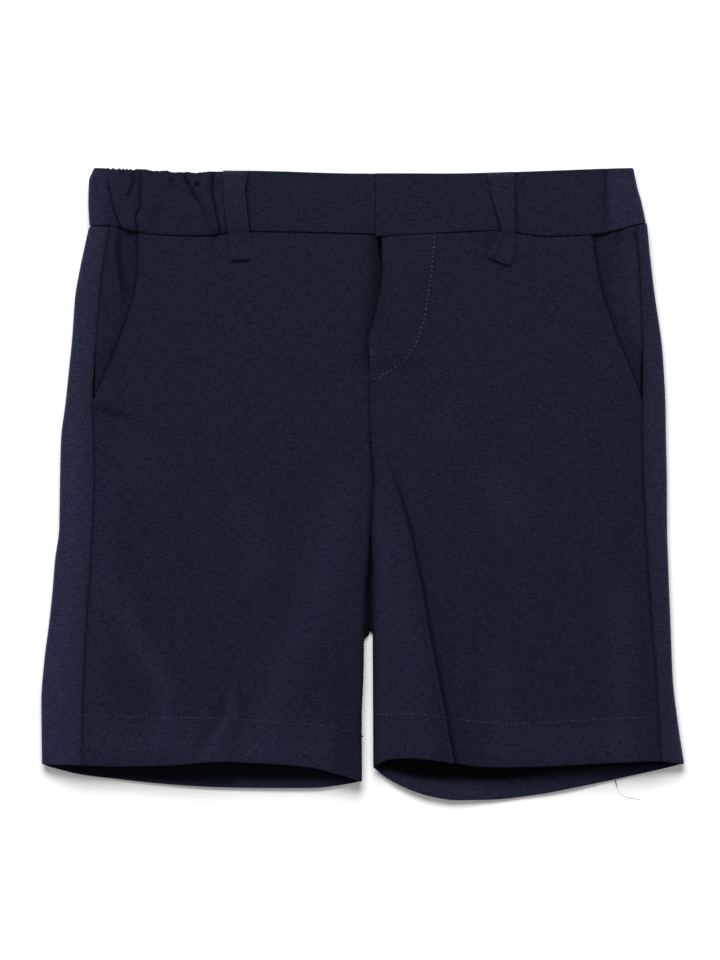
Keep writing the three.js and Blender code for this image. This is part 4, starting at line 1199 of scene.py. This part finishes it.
def suiting_material(name, dark, light):
    """Wool-blend suiting: a matt plain weave of dark navy yarns with paler fibres in them, so that it looks
    heathered, with short slubs along the weft and a soft sheen where it curves away. Its colour is painted paler
    by its painted sheen and darker by its painted shade, which also takes the sheen away."""
    material, tree = new_material(name)
    yarns = add_node(tree, "ShaderNodeUVMap", {"uv_map": "cloth"}).outputs["UV"]

    def streaks(across, along, detail, seed):
        scaled = add_node(tree, "ShaderNodeMapping", {"Scale": (1 / across, 1 / along, 1), "Location": (seed, seed, 0)}, {"Vector": yarns})
        return add_node(tree, "ShaderNodeTexNoise", {"Scale": 1.0, "Detail": detail, "Roughness": 0.6}, {"Vector": scaled.outputs["Vector"]}).outputs["Fac"]

    def ranged(value, low, high, to_low, to_high):
        settings = {"From Min": low, "From Max": high, "To Min": to_low, "To Max": to_high}
        return add_node(tree, "ShaderNodeMapRange", settings, {"Value": value}).outputs["Result"]

    def product(a, b, operation="MULTIPLY"):
        node = add_node(tree, "ShaderNodeMath", {"operation": operation})
        tree.links.new(a, node.inputs[0])
        tree.links.new(b, node.inputs[1])
        return node.outputs["Value"]

    weft = streaks(SLUB_LENGTH, YARN * 1.7, 1, 3.1)
    warp = streaks(YARN * 1.7, SLUB_LENGTH * 0.8, 1, 7.7)
    speck = streaks(0.0011, 0.0010, 0, 12.3)
    patch = streaks(SHADE_PATCH, SHADE_PATCH * 1.2, 2, 21.9)
    heather = product(ranged(weft, 0.35, 0.68, 0.08, 0.48), ranged(warp, 0.35, 0.68, 0.1, 0.42), "ADD")
    heather = product(heather, ranged(speck, 0.36, 0.72, -0.07, 0.2), "ADD")
    base = add_node(tree, "ShaderNodeMix", {"data_type": "RGBA"}, {"Factor": heather})
    base.inputs["A"].default_value = linear(dark)
    base.inputs["B"].default_value = linear(light)
    # the painted sheen and painted shade that each mesh keeps
    painted_sheen_and_tone = add_node(tree, "ShaderNodeAttribute", {"attribute_name": "painted_sheen_and_tone"}).outputs["Fac"]
    painted_shade = add_node(tree, "ShaderNodeAttribute", {"attribute_name": "painted_shade"}).outputs["Fac"]

    def multiplied(colour, factor, tint):
        node = add_node(tree, "ShaderNodeMix", {"data_type": "RGBA", "blend_type": "MULTIPLY", "clamp_result": False})
        tree.links.new(factor, node.inputs["Factor"])
        tree.links.new(colour, node.inputs["A"])
        node.inputs["B"].default_value = (*tint, 1)
        return node.outputs["Result"]

    dyed = multiplied(base.outputs["Result"], ranged(patch, 0.42, 0.66, 0.0, 0.5), PATCH_TINT)
    # the painted sheen pales the colour, and the painted shade darkens it and takes its sheen away
    tinted = multiplied(multiplied(dyed, painted_sheen_and_tone, PAINTED_SHEEN_TINT), painted_shade, PAINTED_SHADE_TINT)
    sheen = ranged(painted_shade, 0.0, 1.0, SHEEN, 0.0)

    def ribs(direction, yarn):
        # a wave's bands are 0.314 apart at scale 1
        settings = {"wave_type": "BANDS", "bands_direction": direction, "Scale": 0.314 / yarn, "Distortion": 0.6, "Detail": 1.0}
        return add_node(tree, "ShaderNodeTexWave", settings, {"Vector": yarns}).outputs["Fac"]

    weave = product(ribs("X", YARN), ribs("Y", YARN))
    height = product(weave, ranged(weft, 0.3, 0.75, 0.2, 1.0), "ADD")
    bump_node = add_node(tree, "ShaderNodeBump", {"Strength": 0.55, "Distance": 0.00012}, {"Height": height})
    roughness = ranged(speck, 0.3, 0.7, 0.96, 0.82)
    shader = add_node(
        tree,
        "ShaderNodeBsdfPrincipled",
        {"Sheen Roughness": 0.45, "Sheen Tint": linear("8B92CE"), "Specular IOR Level": 0.05},
        {"Base Color": tinted, "Sheen Weight": sheen, "Roughness": roughness, "Normal": bump_node.outputs["Normal"]},
    )
    add_node(tree, "ShaderNodeOutputMaterial", {}, {"Surface": shader.outputs["BSDF"]})
    return material


def thread_material():
    """Spun polyester sewing thread, paler than the cloth, with a fine twist that catches the light"""
    material, tree = new_material("sewing thread")
    place = add_node(tree, "ShaderNodeTexCoord").outputs["Object"]
    fibres = add_node(tree, "ShaderNodeTexNoise", {"Scale": 1 / 0.0012, "Detail": 2.0}, {"Vector": place}).outputs["Fac"]
    colour = add_node(tree, "ShaderNodeMix", {"data_type": "RGBA"}, {"Factor": fibres})
    colour.inputs["A"].default_value = linear("171B27")
    colour.inputs["B"].default_value = linear("30364A")
    shader = add_node(
        tree,
        "ShaderNodeBsdfPrincipled",
        {"Roughness": 0.6, "Sheen Weight": 0.3, "Specular IOR Level": 0.25},
        {"Base Color": colour.outputs["Result"]},
    )
    add_node(tree, "ShaderNodeOutputMaterial", {}, {"Surface": shader.outputs["BSDF"]})
    return material


def paper_material():
    """The seamless white paper of a photo studio"""
    material, tree = new_material("white studio paper")
    place = add_node(tree, "ShaderNodeTexCoord").outputs["Object"]
    grain = add_node(tree, "ShaderNodeTexNoise", {"Scale": 900.0, "Detail": 2.0}, {"Vector": place}).outputs["Fac"]
    relief = add_node(tree, "ShaderNodeBump", {"Strength": 0.05, "Distance": 0.0001}, {"Height": grain})
    shader = add_node(
        tree,
        "ShaderNodeBsdfPrincipled",
        {"Base Color": linear("F4F4F4"), "Roughness": 0.9, "Specular IOR Level": 0.1},
        {"Normal": relief.outputs["Normal"]},
    )
    add_node(tree, "ShaderNodeOutputMaterial", {}, {"Surface": shader.outputs["BSDF"]})
    return material


# Stitching


def one_stitch():
    """A stitch 1 long: a round-ended dash, modelled once"""
    bpy.ops.object.select_all(action="DESELECT")
    bpy.ops.mesh.primitive_uv_sphere_add(segments=8, ring_count=6, radius=0.5, rotation=(0, math.pi / 2, 0))
    dash = bpy.context.active_object
    bpy.ops.object.transform_apply(rotation=True)
    points = np.array([v.co[:] for v in dash.data.vertices])
    points[:, 0] = np.sign(points[:, 0]) * np.abs(points[:, 0] * 2) ** 0.8 / 2
    faces = [list(p.vertices) for p in dash.data.polygons]
    bpy.data.objects.remove(dash, do_unlink=True)
    return points, faces


def path_points(path, step, start=0.0):
    """Points spaced evenly along a path, with their directions"""
    path = np.array(path, float)
    lengths = np.concatenate([[0], np.cumsum(np.hypot(*np.diff(path, axis=0).T))])
    at = np.arange(start, lengths[-1], step)
    x, y = np.interp(at, lengths, path[:, 0]), np.interp(at, lengths, path[:, 1])
    ahead = np.minimum(at + 0.5, lengths[-1])
    dx = np.interp(ahead, lengths, path[:, 0]) - np.interp(ahead - 0.5, lengths, path[:, 0])
    dy = np.interp(ahead, lengths, path[:, 1]) - np.interp(ahead - 0.5, lengths, path[:, 1])
    return x, y, np.arctan2(dy, dx)


def face_height(side, x, y):
    """Height of a front's face where it shows at (x, y)"""
    section_y = np.array(y, float)
    for _ in range(3):
        section_y = y - shift_at(side, x, section_y, 0)
    return front_height(side, x, section_y) + (fly_raise(x, section_y) if side is LEFT else 0)


def stitch_row(side, path, step, seed, length=0.95, width=0.34, sunk=0.1, wander=0.08, height=face_height, normal_up=True, shown=1.0):
    """Each stitch's place, direction, size and tilt along a path on the cloth"""
    rng = np.random.default_rng(seed)
    x, y, heading = path_points(path, step)
    x = x + rng.normal(0, wander, len(x))
    y = y + rng.normal(0, wander, len(x))
    reach = length / 2
    ends = [height(side, x + k * reach * np.cos(heading), y + k * reach * np.sin(heading)) for k in (-1, 1)]
    z = (ends[0] + ends[1]) / 2
    pitch = np.arctan2(ends[1] - ends[0], length)
    deep = (sunk(x) if callable(sunk) else sunk) + np.abs(rng.normal(0, 0.06, len(x)))
    z = z + (0.08 - deep if normal_up else deep - 0.08)
    sizes = length * rng.uniform(0.8, 1.15, len(x))
    rows = list(zip(x, y, z, heading + rng.normal(0, 0.06, len(x)), pitch, sizes, [width] * len(x)))
    return [row for row in rows if rng.random() < shown]


def sew(name, rows):
    """All stitches of a sub-part as one mesh"""
    base, base_faces = one_stitch()
    points, faces = [], []
    for x, y, z, heading, pitch, length, width in rows:
        local = base * [length, width, width * 0.6]
        c, s = math.cos(pitch), math.sin(pitch)
        raised = np.stack([local[:, 0] * c - local[:, 2] * s, local[:, 1], local[:, 0] * s + local[:, 2] * c], -1)
        c, s = math.cos(heading), math.sin(heading)
        turned = np.stack([raised[:, 0] * c - raised[:, 1] * s, raised[:, 0] * s + raised[:, 1] * c, raised[:, 2]], -1)
        faces += [[v + len(points) * len(base) for v in face] for face in base_faces]
        points.append(turned + [x, y, z])
    mesh = bpy.data.meshes.new(name)
    mesh.from_pydata((np.concatenate(points) * MM).tolist(), [], faces)
    mesh.shade_smooth()
    piece = bpy.data.objects.new(name, mesh)
    bpy.context.scene.collection.objects.link(piece)
    return piece


J_STITCH = [
    (35.8, 122.5),
    (35.6, 116),
    (34.5, 105.6),
    (33.8, 100),
    (32.6, 91.5),
    (31.0, 82.2),
    (27.8, 72.2),
    (24.8, 66.5),
    (21.9, 61.8),
    (17.3, 58.2),
    (10.6, 54.3),
    (5.9, 52.2),
]
RIGHT_HEM_STITCH = [(-141, -114.7), (-109, -115.8), (-68.7, -116), (-48.6, -117.7), (-24.5, -119.4), (-4, -122.6)]
LEFT_HEM_STITCH = [(8, -114.4), (25.3, -113.7), (41, -116), (56.1, -118), (80.2, -119.1), (109.7, -117.4), (147, -115.4)]


def underside_height(side, x, y):
    return lift_at(y) + 0 * x


def make_stitching():
    rows = []
    fading = lambda x: 0.1 * smooth(30, 22, x)
    rows += stitch_row(LEFT, J_STITCH, 2.4, 1, length=1.0, width=0.6, sunk=fading)
    # the hem's stitches nearly sink into the cloth where it is slack
    slack = lambda x: 0.065 + 0.09 * np.maximum(bump((x + 36) / 10), bump((x + 65) / 4))
    rows += stitch_row(RIGHT, RIGHT_HEM_STITCH, 2.15, 2, width=0.4, sunk=slack)
    slack = lambda x: 0.065 + 0.09 * bump((x - 40) / 15)
    rows += stitch_row(LEFT, LEFT_HEM_STITCH, 2.15, 3, width=0.4, sunk=slack)
    for side, left, right, seed in ((RIGHT, -153, -5, 4), (LEFT, 10, 150, 5)):
        x = np.linspace(left, right, 30)
        path = list(zip(x, side.hem.back(x) + 23))
        rows += stitch_row(side, path, 2.15, seed, sunk=0.1, height=underside_height, normal_up=False)
    return sew("hem_and_fly_stitching", rows)


def make_waist_stitching():
    """Pale stitches that show in the waist seam beside the left belt loop"""
    x = np.linspace(77.5, 113.5, 20)
    rows = stitch_row(LEFT, list(zip(x, LEFT.waist.front(x) - 0.8)), 1.9, 6, length=0.8, width=0.3, sunk=0.15, wander=0.2, shown=0.72)
    x = np.linspace(60.8, 68.6, 5)
    rows += stitch_row(LEFT, list(zip(x, LEFT.waist.front(x) - 0.6)), 1.9, 7, length=0.9, width=0.35, sunk=-0.9)
    rows += stitch_row(LEFT, [(63.6, 115.4), (66, 114.6)], 1.2, 8, length=0.9, width=0.4, sunk=-1.1)
    return sew("waist_seam_stitching", rows)


def make_bar_tack():
    """Two strands of thread that hold the lower end of the fly's opening"""
    rows = []
    for x, seed in ((4.9, 9), (6.1, 10)):
        path = [(x - 0.3, 66.6), (x + 0.2, 64.4), (x + 0.1, 61.6), (x - 0.1, 59)]
        rows += stitch_row(LEFT, path, 1.2, seed, length=1.5, width=0.24, sunk=0.07, wander=0.03)
    return sew("fly_bar_tack", rows)


def make_loose_threads():
    """A thread end hanging from the left leg's back hem, and a short one on the right leg's inner edge"""
    path = np.array([(126.2, -147.2), (127.2, -150.5), (128.1, -154), (131.6, -156.4), (139, -157.3)], float)
    x = np.interp(np.linspace(0, 4, 25), range(5), path[:, 0])
    y = np.interp(np.linspace(0, 4, 25), range(5), path[:, 1])
    kernel = np.ones(5) / 5
    x[2:-2], y[2:-2] = np.convolve(x, kernel, "valid"), np.convolve(y, kernel, "valid")
    z = mix(1.4, 0.12, smooth(0, 8, np.arange(25)))
    thin = mix(0.36, 0.09, smooth(3, 9, np.arange(25)))
    long_end = strip_mesh("loose_thread", np.stack([x, y, z], -1), thin, thin, np.zeros(25), 3)
    short = np.stack([np.linspace(-1.6, 0.7, 8), np.linspace(-125.2, -125.8, 8), np.linspace(5.4, 5.0, 8)], -1)
    short_end = strip_mesh("short_thread", short, np.full(8, 0.5), np.full(8, 0.4), np.zeros(8), 3)
    bpy.ops.object.select_all(action="DESELECT")
    short_end.select_set(True)
    long_end.select_set(True)
    bpy.context.view_layer.objects.active = long_end
    bpy.ops.object.join()
    return long_end


# Stage


def make_stage(paper):
    bpy.ops.object.select_all(action="DESELECT")
    bpy.ops.mesh.primitive_plane_add(size=6, location=(0, 0, -0.0002))
    floor = bpy.context.active_object
    floor.name = "studio_floor"
    floor.data.materials.append(paper)
    floor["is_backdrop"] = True


def area_light(name, place, size, power, colour=(1, 1, 1)):
    data = bpy.data.lights.new(name, "AREA")
    data.shape = "RECTANGLE"
    data.size, data.size_y = size
    data.energy = power
    data.color = colour
    light = bpy.data.objects.new(name, data)
    bpy.context.scene.collection.objects.link(light)
    light.location = place
    aim = np.array([0, 0, 0]) - np.array(place)
    light.rotation_euler = (
        math.atan2(math.hypot(aim[0], aim[1]), -aim[2]),
        0,
        math.atan2(aim[0], -aim[1]) + math.pi,
    )
    return light


def make_lights():
    area_light("window_side_softbox", (-0.2, 1.4, 1.7), (1.5, 1.1), 64)
    area_light("overhead_softbox", (0.25, -0.25, 2.9), (2.4, 2.4), 14)
    world = bpy.data.worlds.new("white studio")
    world.use_nodes = True
    world.node_tree.nodes["Background"].inputs["Color"].default_value = (1, 1, 1, 1)
    world.node_tree.nodes["Background"].inputs["Strength"].default_value = 0.275
    bpy.context.scene.world = world
    bpy.context.scene.view_settings.view_transform = "Standard"


PHOTO_HEIGHT = 0.479  # height of the photographed field on the floor
LENS, SENSOR = 200.0, 36.0
PHOTO_CENTRE = (-0.0009, 0.002)


def make_camera():
    data = bpy.data.cameras.new("camera")
    data.sensor_fit = "AUTO"
    data.sensor_width = SENSOR
    data.lens = LENS
    camera = bpy.data.objects.new("camera", data)
    bpy.context.scene.collection.objects.link(camera)
    camera.location = (*PHOTO_CENTRE, PHOTO_HEIGHT * LENS / SENSOR)
    bpy.context.scene.camera = camera


# Assembly


def dress(piece, material, slot, *nodes):
    """Gives a piece its finish and lets it stand for its solids."""
    piece.data.materials.clear()
    piece.data.materials.append(material)
    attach(piece, "root")
    if nodes:
        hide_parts(*nodes)
    return piece


def build():
    make_camera()
    make_lights()
    make_stage(paper_material())
    suiting = suiting_material("heathered navy suiting", "090B11", "191E2C")
    band_cloth = suiting_material("heathered navy suiting of the waistband", "090B11", "191E2C")
    thread = thread_material()

    fronts = {place: dress(make_front(place), suiting, "suiting", f"front_{place}") for place in SIDES}
    backs = {place: dress(make_back(place), suiting, "suiting", f"back_{place}") for place in SIDES}
    for place in SIDES:
        facing = dress(make_facing(place), suiting, "suiting", f"pocket_facing_{place}")
    underlap = dress(make_underlap(), suiting, "suiting", "fly_underlap")
    back_band = dress(make_back_band(), band_cloth, "band_cloth", "waistband_back")
    for place, width in (("right", 0.134), ("left", 0.114)):
        band = dress(make_front_band(place), band_cloth, "band_cloth", f"waistband_front_{place}")
    for make, place in ((make_right_loop, "right"), (make_left_loop, "left")):
        loop = dress(make(), band_cloth, "band_cloth", f"belt_loop_front_{place}")
    for place in BACK_LOOP_X:
        loop = dress(make_back_loop(place), band_cloth, "band_cloth", f"belt_loop_back_{place}")
    for stitching in (make_stitching(), make_waist_stitching(), make_bar_tack(), make_loose_threads()):
        dress(stitching, thread, "suiting")


build()
visual_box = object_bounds()
corners = lambda box: [[round(value, 5) for value in corner] for corner in box]
str({"cad": corners(cad_box), "visual": corners(visual_box)}).replace("'", '"')
